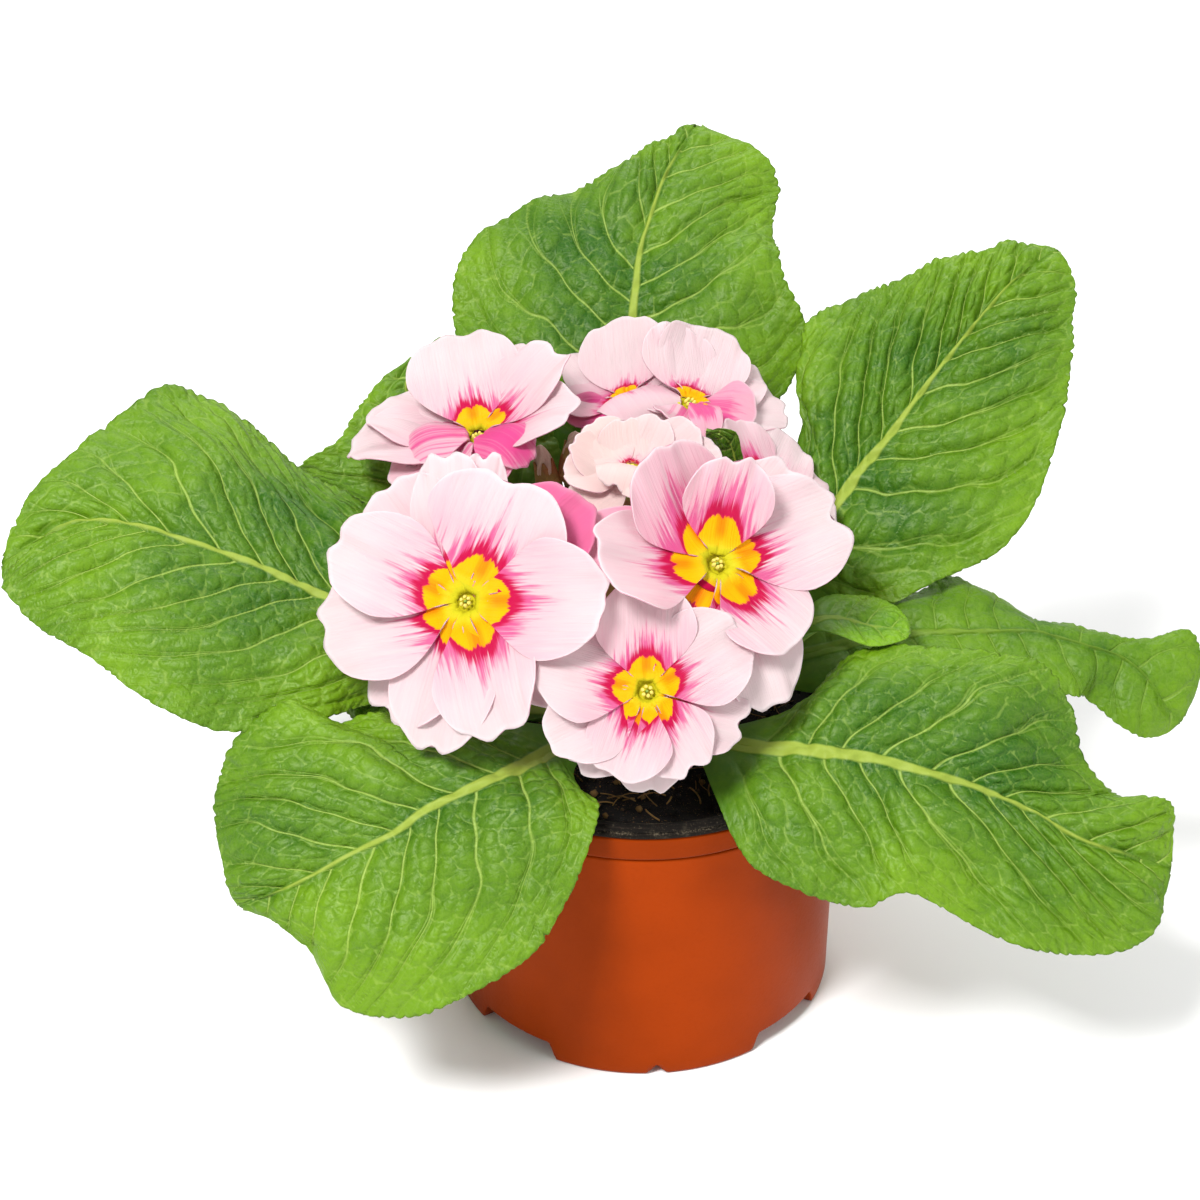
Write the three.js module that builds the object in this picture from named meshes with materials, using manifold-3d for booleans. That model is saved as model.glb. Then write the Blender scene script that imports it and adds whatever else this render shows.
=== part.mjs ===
// A primrose in flower in its 9 cm plastic nursery pot.
//
// Millimetres, +Z up. The origin is the middle of the pot's underside, and +X and -Y are the
// viewer's right and front. The plant stands in the pot as it grew: a crown half buried in the
// soil, ten leaves, eight flowers and four buds. Every piece is one closed mesh, and neighbours
// keep a small gap.

import * as THREE from "three";
import { mergeVertices } from "three/addons/utils/BufferGeometryUtils.js";
import Module from "manifold-3d";

const wasm = await Module();
wasm.setup();

// ---------------------------------------------------------------- driving dimensions, mm

const GAP = 0.35; // clearance between touching pieces

const POT_HEIGHT = 69;
const POT_SIDES = 40; // facets round the pot
const RIM_RADIUS = 45;
const RIM_DEPTH = 3; // height of the rolled rim's outer face
const RIM_WIDTH = 2.4;
const COLLAR_RADIUS = 44.6;
const COLLAR_BOTTOM = 60.5;
const BODY_TOP_RADIUS = 44.1;
const BASE_RADIUS = 43.5;
const WALL = 1.2;
const SHOULDER = 1.4; // how far the stacking shoulder stands in from the rim
const SHOULDER_TOP = 66.5;
const SHOULDER_BOTTOM = 61;

const ARCH_COUNT = 4;
const FIRST_ARCH = THREE.MathUtils.degToRad(-41); // azimuth of the first arch between two feet
const ARCH_SPAN = THREE.MathUtils.degToRad(30);
const ARCH_HEIGHT = 4.8;
const ARCH_TAPER = 0.78; // width of an arch's top as a share of its foot
const CHANNEL_START = 14; // radius where a drain channel under the floor begins
const NOTCH_WIDTH = 5.3;
const NOTCH_HEIGHT = 3;
const DRAIN_HOLE_RADIUS = 3;
const DRAIN_HOLE_AT = 30;

const SOIL_TOP = 66;
const SOIL_CROWN = 1.2; // how much higher the soil is in the middle

const CROWN_RADIUS = 8.5;
const CROWN_FOOT = 58;
const CROWN_TOP = 74;

const PETIOLE_START = 9.3; // distance from the crown's axis to where a petiole begins
const PETIOLE_LEVEL = 70;
const LEAF_THICKNESS = 1.1;
const PETIOLE_THICKNESS = 3.6;
const LEAF_CUSHION = 0.07; // rise of each half of the blade, as a share of its width

const PEDICEL_RADIUS = 1.25;
const PEDICEL_FAN = 4.6; // radius of the ring on the crown that the pedicels leave from
const CALYX_LENGTH = 13;
const CALYX_RADIUS = 3.6;
const CALYX_WALL = 0.8;
const BUD_RADIUS = 3;
const BUD_FOOT = -10; // height of a bud's foot below the mouth of its calyx
const BUD_TIP = 6;
const BUD_PEDICEL_RADIUS = 0.95;
const BUD_PEDICEL_FAN = 2.1;
const TUBE_RADIUS = 2;
const TUBE_LENGTH = 14;
const PETAL_THICKNESS = 0.9;
const CUP = 0.25; // share of its lift that a petal has at the mouth, where its flower gives none
const STAMEN_RADIUS = 1.4;
const STAMEN_HEIGHT = 2;
const STAMEN_FOOT = -0.2; // height of the anthers' foot above the mouth of the tube

// Leaves. `slot` is the azimuth on the crown that the petiole leaves from, in degrees, `stalk`
// its middle line up to the blade and `width` its half width. Each row of `blade` holds the
// midrib, the left edge and the right edge, as seen looking outwards; the last entry is the tip.
const LEAVES = {
  leaf_left: {
    slot: 178, width: 2.6, stalk: [[-21, -2, 78]],
    blade: [
      [[-37, -7, 87], [-40, -12, 82], [-42, 2, 92]],
      [[-54, -5, 94], [-67, -21, 81], [-65, 26, 107]],
      [[-70, 0, 99], [-87, -27, 81], [-83, 38, 113]],
      [[-84, 4, 104], [-102, -25, 86], [-96, 45, 122]],
      [[-97, 6, 108], [-117, -18, 94], [-108, 42, 126]],
      [[-111, 9, 111], [-127, -13, 97], [-122, 28, 120]],
      [[-124, 9, 111], [-135, -6, 101], [-134, 14, 113]],
    ],
    tip: [-138, 2, 105],
  },
  leaf_back: {
    slot: 92, width: 2.8, stalk: [[-3, 20, 82], [-4, 38, 93]],
    blade: [
      [[-4, 56, 104], [-22, 57, 103], [14, 52, 98]],
      [[-3, 70, 117], [-42, 77, 118], [33, 68, 110]],
      [[-2, 79, 125], [-44, 89, 128], [39, 79, 122]],
      [[-1, 86, 132], [-38, 100, 138], [34, 86, 133]],
      [[0, 93, 137], [-20, 107, 144], [32, 98, 137]],
      [[2, 98, 142], [-5, 112, 150], [33, 108, 142]],
      [[6, 109, 149], [3, 117, 154], [34, 113, 146]],
      [[11, 118, 154], [9, 121, 156], [27, 120, 152]],
    ],
    tip: [14, 124, 156],
  },
  leaf_back_right: {
    slot: 52, width: 2.8, stalk: [[17, 15, 79]],
    blade: [
      [[33, 24, 93], [33, 36, 101], [40.5, 16, 85.5]],
      [[41, 28, 102], [37, 59, 120], [53, 12, 88]],
      [[45, 31, 106], [38, 68, 129], [66, 15, 93]],
      [[49, 35, 110], [46, 72, 134], [79, 19, 98]],
      [[55, 40, 115], [54, 72, 136], [89, 29, 108]],
      [[65, 49, 125], [68, 75, 142], [96, 47, 124]],
      [[82, 65, 139], [84, 78, 145], [99, 65, 137]],
      [[91, 72, 143.5], [91, 78, 145], [99, 71, 141]],
    ],
    tip: [96, 75, 145],
  },
  leaf_front_right: {
    slot: -44, width: 3, stalk: [[12, -18, 74]],
    blade: [
      [[21, -27, 77], [26, -21, 80.5], [14.5, -38.5, 72.5]],
      [[30, -31, 80], [36, -17, 83], [20.5, -51, 66]],
      [[38, -34, 81], [46, -11, 92], [31, -55, 61]],
      [[48, -35, 80], [67, -13, 92], [44, -57, 58]],
      [[58, -37, 78], [81, -16, 93], [54, -56, 61]],
      [[66, -38, 76], [89, -20, 86], [70, -59, 53]],
      [[74, -39, 73], [93, -27, 75], [81, -61, 50]],
      [[82, -41, 70], [99, -32, 67], [91, -60, 48]],
      [[90, -44, 66], [106, -36, 71], [100, -58, 48]],
      [[99, -45, 63], [111, -37, 68], [107, -53, 52]],
    ],
    tip: [110, -44, 58],
  },
  leaf_front_left: {
    slot: -112, width: 3, stalk: [[-11, -16, 73]],
    blade: [
      [[-19, -27, 76], [-15, -32, 74], [-26, -22, 80]],
      [[-26, -35, 78], [-10, -44, 75], [-41, -25, 84]],
      [[-33, -40, 78], [-12, -52, 69], [-56, -22, 82]],
      [[-39, -42, 76], [-17, -58, 59], [-67, -21, 79]],
      [[-46, -44, 73], [-24, -64, 51], [-75, -23, 86]],
      [[-52, -46, 69], [-36, -67, 44], [-84, -25, 80]],
      [[-60, -47, 65], [-49, -68, 38], [-90, -29, 71]],
      [[-68, -49, 61], [-61, -66, 38], [-91, -36, 65]],
      [[-74, -50, 58], [-68, -59, 44], [-89, -42, 59]],
      [[-80, -50, 55], [-76, -53, 50], [-87, -46, 54]],
    ],
    tip: [-85, -48, 51],
  },
  leaf_right: {
    slot: 14, width: 2, stalk: [[20, 4, 75]],
    blade: [
      [[36, 4, 80], [34, 10, 83], [38, -5, 76]],
      [[49, 6, 83], [46, 13, 87], [52, -3, 79]],
      [[62, 6, 85], [60, 18, 88], [65, -4, 78]],
      [[75, 5, 86], [69, 22, 89], [78, -6, 77]],
      [[86, 5, 86], [80, 18, 85], [87, -8, 78]],
      [[96, 3, 84], [95, 10, 83], [95, -8, 77]],
      [[105, 2, 81], [110, 7, 83], [98, -4, 73]],
      [[111, -1, 77], [121, 10, 82], [105, -6, 68]],
      [[115, -3, 71], [123, 3, 76], [112, -6, 65]],
    ],
    tip: [119, -3, 67],
  },
  leaf_back_left: {
    slot: 134, width: 2.4, stalk: [[-14, 14, 81], [-23, 24, 90]],
    blade: [
      [[-32, 35, 98], [-54, 29, 92], [-18, 46, 102]],
      [[-41, 41, 105], [-78, 39, 102], [-22, 57, 110]],
      [[-48, 47, 111], [-77, 40, 108], [-28, 65, 117]],
      [[-52, 52, 116], [-69, 45, 112], [-35, 68, 122]],
      [[-54, 57, 120], [-64, 53, 117], [-43, 70, 124]],
    ],
    tip: [-52, 66, 123],
  },
  leaf_small_right: {
    slot: -14, width: 1.5, stalk: [[20, -3, 79], [31, -5, 90]],
    blade: [
      [[36.5, -6, 95], [36.5, 0, 96], [36.5, -9, 94.5]],
      [[41.5, -5, 95.5], [42, 4.5, 95.5], [41, -11, 95]],
      [[48, -6, 94.5], [49, 3, 95], [47.5, -13, 93.5]],
      [[53.5, -7, 94], [55.5, 0, 94], [53, -12, 93.5]],
    ],
    tip: [57, -8.5, 93.5],
  },
  leaf_small_left: {
    slot: -156, width: 1.8, stalk: [[-18, -8, 73]],
    blade: [
      [[-31, -11, 76], [-31, -15, 74], [-31, -6, 78]],
      [[-42, -14, 79], [-44, -22, 73], [-41, -3, 83]],
      [[-51, -13, 80], [-54, -20, 74], [-51, 1, 85]],
      [[-59, -9, 79], [-62, -15, 75], [-61, 3, 84]],
    ],
    tip: [-67, -5, 78],
  },
  leaf_young: {
    slot: 72, width: 1, stalk: [[8, 16, 84], [17, 15, 106]],
    blade: [
      [[19.8, 14, 119.5], [18, 16, 118], [21, 12, 121]],
      [[19.2, 13, 125], [16, 17, 121], [20.5, 11, 127.5]],
      [[17.3, 12, 129.5], [14.5, 17, 125], [19, 11, 132]],
    ],
    tip: [13, 13, 131],
  },
};

// Flowers. `at` is the mouth of the tube, `facing` the way the flower looks, and `from` the
// azimuth on the crown that its pedicel leaves from, in degrees. Each petal is [azimuth in
// degrees, length, width, lift in degrees above the flower's own plane], and azimuth 90 is the
// way UPHILL points. `cup` is the share of its lift that a petal already has at the mouth.
const UPHILL = new THREE.Vector3(0, 0.53, 0.85);
const FLOWERS = {
  front_left: {
    at: [-37, -25, 112], facing: [-0.32, -0.7, 0.64], from: 205,
    petals: [
      [0, 31.5, 25, 8], [64, 27.5, 33, 10], [157, 32.5, 22, 6], [104, 32.5, 18, 2], [288, 28.5, 24, 3],
      [190, 33, 27, 2], [130, 32.5, 24, 0], [256, 31, 24, -1], [88, 32.5, 12, -2], [230, 30, 24, -4],
      [46, 31.5, 24, -4], [325, 30, 20, -5],
    ],
  },
  front_right: {
    at: [14.5, -20, 118], facing: [0.3, -0.5, 0.81], from: 310,
    petals: [
      [80, 22, 20, 38], [121, 26.5, 26, 24], [20, 31, 26, 8], [182, 29, 23, 16], [312, 23, 22, 4],
      [235, 18, 20, -12], [293, 31, 22, -12], [46, 30, 20, 8], [160, 31, 20, -10],
    ],
  },
  front_low: {
    at: [0, -40, 100], facing: [0.08, -0.76, 0.65], from: 268,
    petals: [
      [91, 22, 21, 8], [30, 23, 21, 4], [342, 22, 18, -6], [300, 19, 17, -2], [250, 18.5, 18, 2],
      [273, 21, 16, -10], [206, 22, 18, 0], [227, 21, 16, -10], [165, 22.5, 20, 4], [136, 23.5, 19, -4],
    ],
  },
  back_left: {
    at: [-36.4, 29, 121], facing: [-0.22, -0.08, 0.97], from: 142, cup: 1.3,
    petals: [
      [205, 17, 15, 1], [328, 17.5, 14, 2], [113, 29, 26, 26], [190, 29, 24, 8], [52, 27, 20, 24],
      [8, 24, 21, 20], [163, 28, 22, 12], [80, 28, 20, 20], [232, 22, 20, 6], [285, 19, 18, 2],
    ],
  },
  back_middle: {
    at: [-3.6, 44.5, 122], facing: [-0.32, -0.08, 0.94], from: 66,
    petals: [
      [320, 14, 18, -8], [108, 23, 22, 24], [182, 17, 16, 16], [136, 23, 18, 14], [208, 14, 11, 12],
      [84, 22, 18, 18], [262, 14, 14, 6], [30, 12, 14, 8],
    ],
  },
  back_right: {
    at: [10.5, 37.5, 125], facing: [0.3, -0.15, 0.94], from: 28,
    petals: [
      [330, 15, 15, 8], [266, 15, 7, 5], [60, 26, 22, 13], [82, 23, 19, 16], [36, 25, 20, 8],
      [2, 25, 18, 2], [345, 24, 18, -6], [150, 11, 12, -10], [230, 12, 13, 22],
    ],
  },
  centre: {
    at: [-3, 9, 124], facing: [-0.05, -0.42, 0.9], from: 104,
    petals: [
      [192, 14.5, 12, 14], [252, 10, 12, 30], [128, 13.5, 13, 18], [222, 16, 13, 2], [95, 11.5, 13, 20],
      [163, 13.5, 12, 26], [62, 13, 12, 24], [30, 16.5, 13, 22], [6, 19, 13, 18], [300, 14, 12, 28],
      [345, 18, 14, 16],
    ],
  },
  side_right: {
    at: [27, 20, 114], facing: [0.45, -0.1, 0.88], from: 350,
    petals: [
      [95, 17, 17, 16], [45, 19, 18, 12], [15, 18, 18, 6], [150, 16, 17, 18], [320, 18, 17, 4],
      [250, 17, 17, 6],
    ],
  },
};

// Closed buds among the pedicels. `at` is the mouth of the calyx, `facing` the way the bud
// points, and `from` the azimuth on the crown that its pedicel leaves from, in degrees.
const BUDS = {
  left: { at: [-22, 37.5, 109], facing: [-0.2, -0.1, 0.97], from: 150 },
  back: { at: [-15.5, 37, 113], facing: [0.1, -0.2, 0.97], from: 110 },
  front: { at: [-9.7, 2, 103], facing: [-0.15, -0.25, 0.95], from: -90 },
  right: { at: [10, 20, 110], facing: [0.2, 0.15, 0.96], from: 20 },
};

const COLOURS = {
  pot: "#b5501f",
  soil: "#1c1511",
  crown: "#6c5a34",
  leaf: "#4f8f24",
  leaf_small: "#3f7a22",
  stalk: "#9aa055",
  calyx: "#7f9a48",
  bud: "#93683f",
  corolla: "#f3c3cf",
  stamens: "#e3c33a",
};

// ---------------------------------------------------------------- solids and meshes

function solidOf(geometry) {
  const bare = geometry.index ? geometry.toNonIndexed() : geometry.clone();
  bare.deleteAttribute("normal");
  bare.deleteAttribute("uv");
  const merged = mergeVertices(bare, 1e-4);
  return new wasm.Manifold(
    new wasm.Mesh({
      numProp: 3,
      vertProperties: new Float32Array(merged.attributes.position.array),
      triVerts: new Uint32Array(merged.index.array),
    }),
  );
}

function geometryOf(solid) {
  const mesh = solid.getMesh();
  const geometry = new THREE.BufferGeometry();
  geometry.setAttribute("position", new THREE.BufferAttribute(new Float32Array(mesh.vertProperties), 3));
  geometry.setIndex(new THREE.BufferAttribute(new Uint32Array(mesh.triVerts), 1));
  geometry.computeVertexNormals();
  return geometry;
}

function largestBody(solid) {
  return solid.decompose().reduce((a, b) => (b.volume() > a.volume() ? b : a));
}

const vec = (p) => new THREE.Vector3(...p);

// A closed sheet round a grid of points, half a thickness to each side of it. `half[i][j]` is
// that half thickness. Where `loop` is set, the columns run round and join up.
function sheet(points, half, loop = false) {
  const rows = points.length;
  const columns = points[0].length;
  const wrap = (j) => (loop ? (j + columns) % columns : Math.min(Math.max(j, 0), columns - 1));
  const clamp = (i) => Math.min(Math.max(i, 0), rows - 1);
  const sides = [1, -1].map((sign) =>
    points.map((row, i) =>
      row.map((p, j) => {
        const along = points[clamp(i + 1)][j].clone().sub(points[clamp(i - 1)][j]);
        const across = row[wrap(j + 1)].clone().sub(row[wrap(j - 1)]);
        const normal = along.cross(across).normalize();
        return p.clone().addScaledVector(normal, sign * half[i][j]);
      }),
    ),
  );
  const triangles = [];
  const quad = (a, b, c, d) => triangles.push(a, b, c, a, c, d);
  const lastColumn = loop ? columns : columns - 1;
  for (let i = 0; i < rows - 1; i++) {
    for (let j = 0; j < lastColumn; j++) {
      const k = wrap(j + 1);
      const [top, bottom] = sides;
      quad(top[i][j], top[i + 1][j], top[i + 1][k], top[i][k]);
      quad(bottom[i][j], bottom[i][k], bottom[i + 1][k], bottom[i + 1][j]);
    }
  }
  for (let j = 0; j < lastColumn; j++) {
    const k = wrap(j + 1);
    const end = rows - 1;
    const [top, bottom] = sides;
    quad(top[0][j], top[0][k], bottom[0][k], bottom[0][j]);
    quad(top[end][j], bottom[end][j], bottom[end][k], top[end][k]);
  }
  if (!loop) {
    for (let i = 0; i < rows - 1; i++) {
      const end = columns - 1;
      const [top, bottom] = sides;
      quad(top[i][0], bottom[i][0], bottom[i + 1][0], top[i + 1][0]);
      quad(top[i][end], top[i + 1][end], bottom[i + 1][end], bottom[i][end]);
    }
  }
  return new THREE.BufferGeometry().setFromPoints(triangles);
}

// ---------------------------------------------------------------- pot, soil and crown

function lathe(profile, segments = POT_SIDES) {
  const outline = profile.map(([r, z]) => new THREE.Vector2(r, z));
  return solidOf(new THREE.LatheGeometry(outline, segments).rotateX(Math.PI / 2));
}

// The wedge under one arch and its drain channel, grown by `grow` on its roof and sides.
function archWedge(azimuth, grow = 0) {
  const half = ARCH_SPAN / 2;
  const reach = RIM_RADIUS + 10;
  const shape = new THREE.Shape();
  shape.moveTo(CHANNEL_START * Math.cos(half) - grow, -CHANNEL_START * Math.sin(half) - grow);
  shape.lineTo(reach, -reach * Math.tan(half) - grow);
  shape.lineTo(reach, reach * Math.tan(half) + grow);
  shape.lineTo(CHANNEL_START * Math.cos(half) - grow, CHANNEL_START * Math.sin(half) + grow);
  shape.closePath();
  const floor = -5;
  const depth = ARCH_HEIGHT + grow - floor;
  const geometry = new THREE.ExtrudeGeometry(shape, { depth, bevelEnabled: false });
  const position = geometry.attributes.position;
  for (let i = 0; i < position.count; i++) {
    if (position.getZ(i) > 1) position.setY(i, position.getY(i) * ARCH_TAPER);
  }
  geometry.translate(0, 0, floor).rotateZ(azimuth);
  return solidOf(geometry);
}

function drainNotch(azimuth) {
  const shape = new THREE.Shape();
  shape.moveTo(-NOTCH_WIDTH / 2 - 1, -2);
  shape.lineTo(NOTCH_WIDTH / 2 + 1, -2);
  shape.lineTo(NOTCH_WIDTH / 2, 0);
  shape.lineTo(0, NOTCH_HEIGHT);
  shape.lineTo(-NOTCH_WIDTH / 2, 0);
  shape.closePath();
  const geometry = new THREE.ExtrudeGeometry(shape, { depth: 12, bevelEnabled: false });
  geometry.rotateX(Math.PI / 2).rotateZ(Math.PI / 2).translate(BASE_RADIUS - 6, 0, 0).rotateZ(azimuth);
  return solidOf(geometry);
}

function drainHole(azimuth) {
  const geometry = new THREE.CylinderGeometry(DRAIN_HOLE_RADIUS, DRAIN_HOLE_RADIUS, 20, 12);
  geometry.rotateX(Math.PI / 2).translate(DRAIN_HOLE_AT, 0, 0).rotateZ(azimuth);
  return solidOf(geometry);
}

const archAzimuths = Array.from(
  { length: ARCH_COUNT },
  (_, i) => FIRST_ARCH + (i * 2 * Math.PI) / ARCH_COUNT,
);
const footAzimuths = archAzimuths.map((a) => a + Math.PI / ARCH_COUNT);

// The hollow of the pot, drawn in by `inset` all round.
function potHollow(inset, top) {
  const radius = (r) => r - inset;
  const inner = RIM_RADIUS - RIM_WIDTH;
  let hollow = lathe([
    [0, WALL + inset],
    [radius(BASE_RADIUS - WALL), WALL + inset],
    [radius(BODY_TOP_RADIUS - WALL), SHOULDER_BOTTOM - 2],
    [radius(inner - SHOULDER), SHOULDER_BOTTOM],
    [radius(inner - SHOULDER), SHOULDER_TOP],
    [radius(inner), POT_HEIGHT - 1],
    [radius(inner), top],
    [0, top],
  ]);
  for (const azimuth of archAzimuths) hollow = hollow.subtract(archWedge(azimuth, WALL + inset));
  return hollow;
}

function makePot() {
  const rimBottom = POT_HEIGHT - RIM_DEPTH;
  let pot = lathe([
    [0, 0],
    [BASE_RADIUS - 0.8, 0],
    [BASE_RADIUS, 0.8],
    [BODY_TOP_RADIUS, COLLAR_BOTTOM - 0.5],
    [COLLAR_RADIUS, COLLAR_BOTTOM],
    [COLLAR_RADIUS, rimBottom],
    [RIM_RADIUS, rimBottom + 0.5],
    [RIM_RADIUS, POT_HEIGHT - 0.8],
    [RIM_RADIUS - 0.8, POT_HEIGHT],
    [0, POT_HEIGHT],
  ]);
  pot = pot.subtract(potHollow(0, POT_HEIGHT + 5));
  for (const azimuth of archAzimuths) pot = pot.subtract(archWedge(azimuth)).subtract(drainHole(azimuth));
  for (const azimuth of footAzimuths) pot = pot.subtract(drainNotch(azimuth));
  return largestBody(pot);
}

function makeCrown(grow = 0) {
  return lathe(
    [
      [0, CROWN_FOOT - grow],
      [CROWN_RADIUS * 0.7 + grow, CROWN_FOOT - grow],
      [CROWN_RADIUS + grow, CROWN_FOOT + 4],
      [CROWN_RADIUS + grow, PETIOLE_LEVEL],
      [CROWN_RADIUS * 0.8 + grow, CROWN_TOP - 1 + grow],
      [0, CROWN_TOP + grow],
    ],
    16,
  );
}

function makeSoil() {
  const reach = RIM_RADIUS - RIM_WIDTH - SHOULDER - GAP;
  const above = SOIL_TOP + 30;
  const cover = lathe([
    [0, SOIL_TOP + SOIL_CROWN],
    [reach * 0.6, SOIL_TOP + SOIL_CROWN * 0.7],
    [reach, SOIL_TOP],
    [reach + 9, SOIL_TOP],
    [reach + 9, above],
    [0, above],
  ]);
  return largestBody(potHollow(GAP, SOIL_TOP + SOIL_CROWN + 1).subtract(cover).subtract(makeCrown(GAP)));
}

// ---------------------------------------------------------------- leaves

function leafRows({ slot, width, stalk, blade, tip }) {
  const angle = THREE.MathUtils.degToRad(slot);
  const outward = new THREE.Vector3(Math.cos(angle), Math.sin(angle), 0);
  const start = outward.clone().multiplyScalar(PETIOLE_START).setZ(PETIOLE_LEVEL);
  const middle = [start, ...stalk.map(vec)];
  const rows = middle.map((p, i) => {
    const next = middle[i + 1] ?? vec(blade[0][0]);
    const ahead = next.clone().sub(p);
    const left = new THREE.Vector3(-ahead.y, ahead.x, 0).setLength(width);
    return [p, p.clone().add(left), p.clone().sub(left)];
  });
  for (const row of blade) rows.push(row.map(vec));
  const before = blade.at(-1).map(vec);
  rows.push([0, 1, 2].map((i) => vec(tip).lerp(before[i], i ? 0.12 : 0)));
  return rows;
}

// A leaf is a smooth surface through its three lines: midrib, left edge and right edge. Each
// half of the blade is cushioned a little, and the petiole is a flattened rod.
function makeLeaf(leaf, grow = 0) {
  const rows = leafRows(leaf);
  // Each line runs on for one point past the tip, an edge to the other side of the last row, so
  // that the outline is round there.
  const last = rows.at(-2);
  const tip = rows.at(-1)[0];
  const beyond = [tip.clone().multiplyScalar(2).sub(last[0]), last[2], last[1]];
  const [midrib, left, right] = [0, 1, 2].map(
    (i) => new THREE.CatmullRomCurve3([...rows.map((row) => row[i]), beyond[i]], false, "catmullrom", 0.5),
  );
  const whole = (rows.length - 1) / rows.length;
  const steps = Math.min(18, rows.length * 2);
  const across = [-1, -0.5, 0, 0.5, 1];
  const petioleShare = (1 + leaf.stalk.length) / (rows.length - 1);
  const points = [];
  const half = [];
  for (let i = 0; i <= steps; i++) {
    const u = i / steps;
    const centre = midrib.getPoint(u * whole);
    const edges = [left.getPoint(u * whole), right.getPoint(u * whole)];
    const ahead = midrib.getTangent(u * whole);
    const end = i === 0 ? -grow : i === steps ? grow : 0;
    points.push(
      across.map((v) => {
        const edge = edges[v < 0 ? 0 : 1];
        const reach = edge.clone().sub(centre);
        const distance = reach.length();
        const side = v < 0 ? -1 : 1;
        const up = reach.clone().cross(ahead).multiplyScalar(side).normalize();
        const lift = LEAF_CUSHION * distance * Math.sin(Math.PI * Math.abs(v));
        const stretch = Math.abs(v) * (1 + grow / Math.max(distance, 1));
        const point = centre.clone().addScaledVector(reach, stretch);
        return point.addScaledVector(up, lift).addScaledVector(ahead, end);
      }),
    );
    const petiole = THREE.MathUtils.clamp((petioleShare + 0.1 - u) / 0.2, 0, 1);
    half.push(
      across.map((v) => {
        const rib = 1 - Math.abs(v);
        const thick = LEAF_THICKNESS + (PETIOLE_THICKNESS - LEAF_THICKNESS) * (0.45 + 0.55 * rib) * petiole;
        return thick / 2 + grow;
      }),
    );
  }
  return solidOf(sheet(points, half));
}

// ---------------------------------------------------------------- flowers

function flowerAxes({ facing }) {
  const out = vec(facing).normalize();
  const up = UPHILL.clone().addScaledVector(out, -UPHILL.dot(out)).normalize();
  const right = up.clone().cross(out);
  return { right, up, out };
}

// Turns a geometry made about +Z, mouth at the origin, to the flower's place and direction.
function placeOnFlower(geometry, flower) {
  const { right, up, out } = flowerAxes(flower);
  const turn = new THREE.Matrix4().makeBasis(right, up, out).setPosition(vec(flower.at));
  return geometry.applyMatrix4(turn);
}

function latheAbout(profile, segments, flower) {
  const outline = profile.map(([r, z]) => new THREE.Vector2(r, z));
  return solidOf(placeOnFlower(new THREE.LatheGeometry(outline, segments).rotateX(Math.PI / 2), flower));
}

// The lobed outline and the lift of a corolla at one azimuth, from the petals near it: the
// outline is the longest petal there, and the lift their mean weighted by nearness.
function corollaAt(azimuth, petals) {
  let radius = 9;
  let weight = 1e-6;
  let height = 0;
  for (const [petalAzimuth, length, width, lift] of petals) {
    const off = ((((azimuth - petalAzimuth) % 360) + 540) % 360) - 180;
    const spread = THREE.MathUtils.radToDeg(Math.atan2(width / 2, length * 0.62));
    const near = Math.abs(off) / spread;
    if (near < 1) radius = Math.max(radius, length * (1 - 0.3 * near ** 4));
    const share = Math.exp(-((off / (0.7 * spread)) ** 2));
    weight += share;
    height += share * lift;
  }
  return { radius, lift: THREE.MathUtils.degToRad(height / weight) };
}

function makeCorolla(flower, grow = 0) {
  const columns = 27;
  const rings = [0, 0.5, 1];
  const inner = TUBE_RADIUS * 0.7;
  const cup = flower.cup ?? CUP;
  const points = rings.map((t) =>
    Array.from({ length: columns }, (_, j) => {
      const azimuth = (360 * j) / columns;
      const { radius, lift } = corollaAt(azimuth, flower.petals);
      const angle = THREE.MathUtils.degToRad(azimuth);
      const run = inner + (radius + grow - inner) * t;
      const slope = lift * (cup + (1 - cup) * t);
      return new THREE.Vector3(
        run * Math.cos(slope) * Math.cos(angle),
        run * Math.cos(slope) * Math.sin(angle),
        run * Math.sin(slope),
      );
    }),
  );
  const half = points.map((row) => row.map(() => PETAL_THICKNESS / 2 + grow));
  const limb = solidOf(placeOnFlower(sheet(points, half, true), flower));
  const tube = latheAbout(
    [
      [0, -TUBE_LENGTH - grow],
      [TUBE_RADIUS * 0.8 + grow, -TUBE_LENGTH - grow],
      [TUBE_RADIUS + grow, -2],
      [TUBE_RADIUS + grow, 0.3 + grow],
      [0, 0.3 + grow],
    ],
    10,
    flower,
  );
  const pocket = STAMEN_RADIUS + GAP + 0.05 - grow;
  const foot = STAMEN_FOOT - GAP - 0.05 + grow;
  const throat = latheAbout([[0, foot], [pocket, foot], [pocket, 5], [0, 5]], 10, flower);
  return limb.add(tube).subtract(throat);
}

function makeCalyx(flower, grow = 0) {
  const top = -4;
  const outer = CALYX_RADIUS + grow;
  const bore = TUBE_RADIUS + GAP;
  const foot = top - CALYX_LENGTH;
  const cup = latheAbout(
    [
      [0, foot - grow],
      [outer * 0.5, foot - grow],
      [outer * 0.95, foot + 3],
      [outer, top + grow],
      [0, top + grow],
    ],
    10,
    flower,
  );
  if (grow) return cup;
  const bottom = -TUBE_LENGTH - GAP - 0.1;
  return cup.subtract(latheAbout([[0, bottom], [bore, bottom], [bore, 2], [0, 2]], 10, flower));
}

function makeStamens(flower) {
  const top = STAMEN_FOOT + STAMEN_HEIGHT;
  return latheAbout(
    [[0, STAMEN_FOOT], [STAMEN_RADIUS, STAMEN_FOOT], [STAMEN_RADIUS, top - 0.6],
      [STAMEN_RADIUS * 0.6, top], [0, top]],
    8,
    flower,
  );
}

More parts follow.
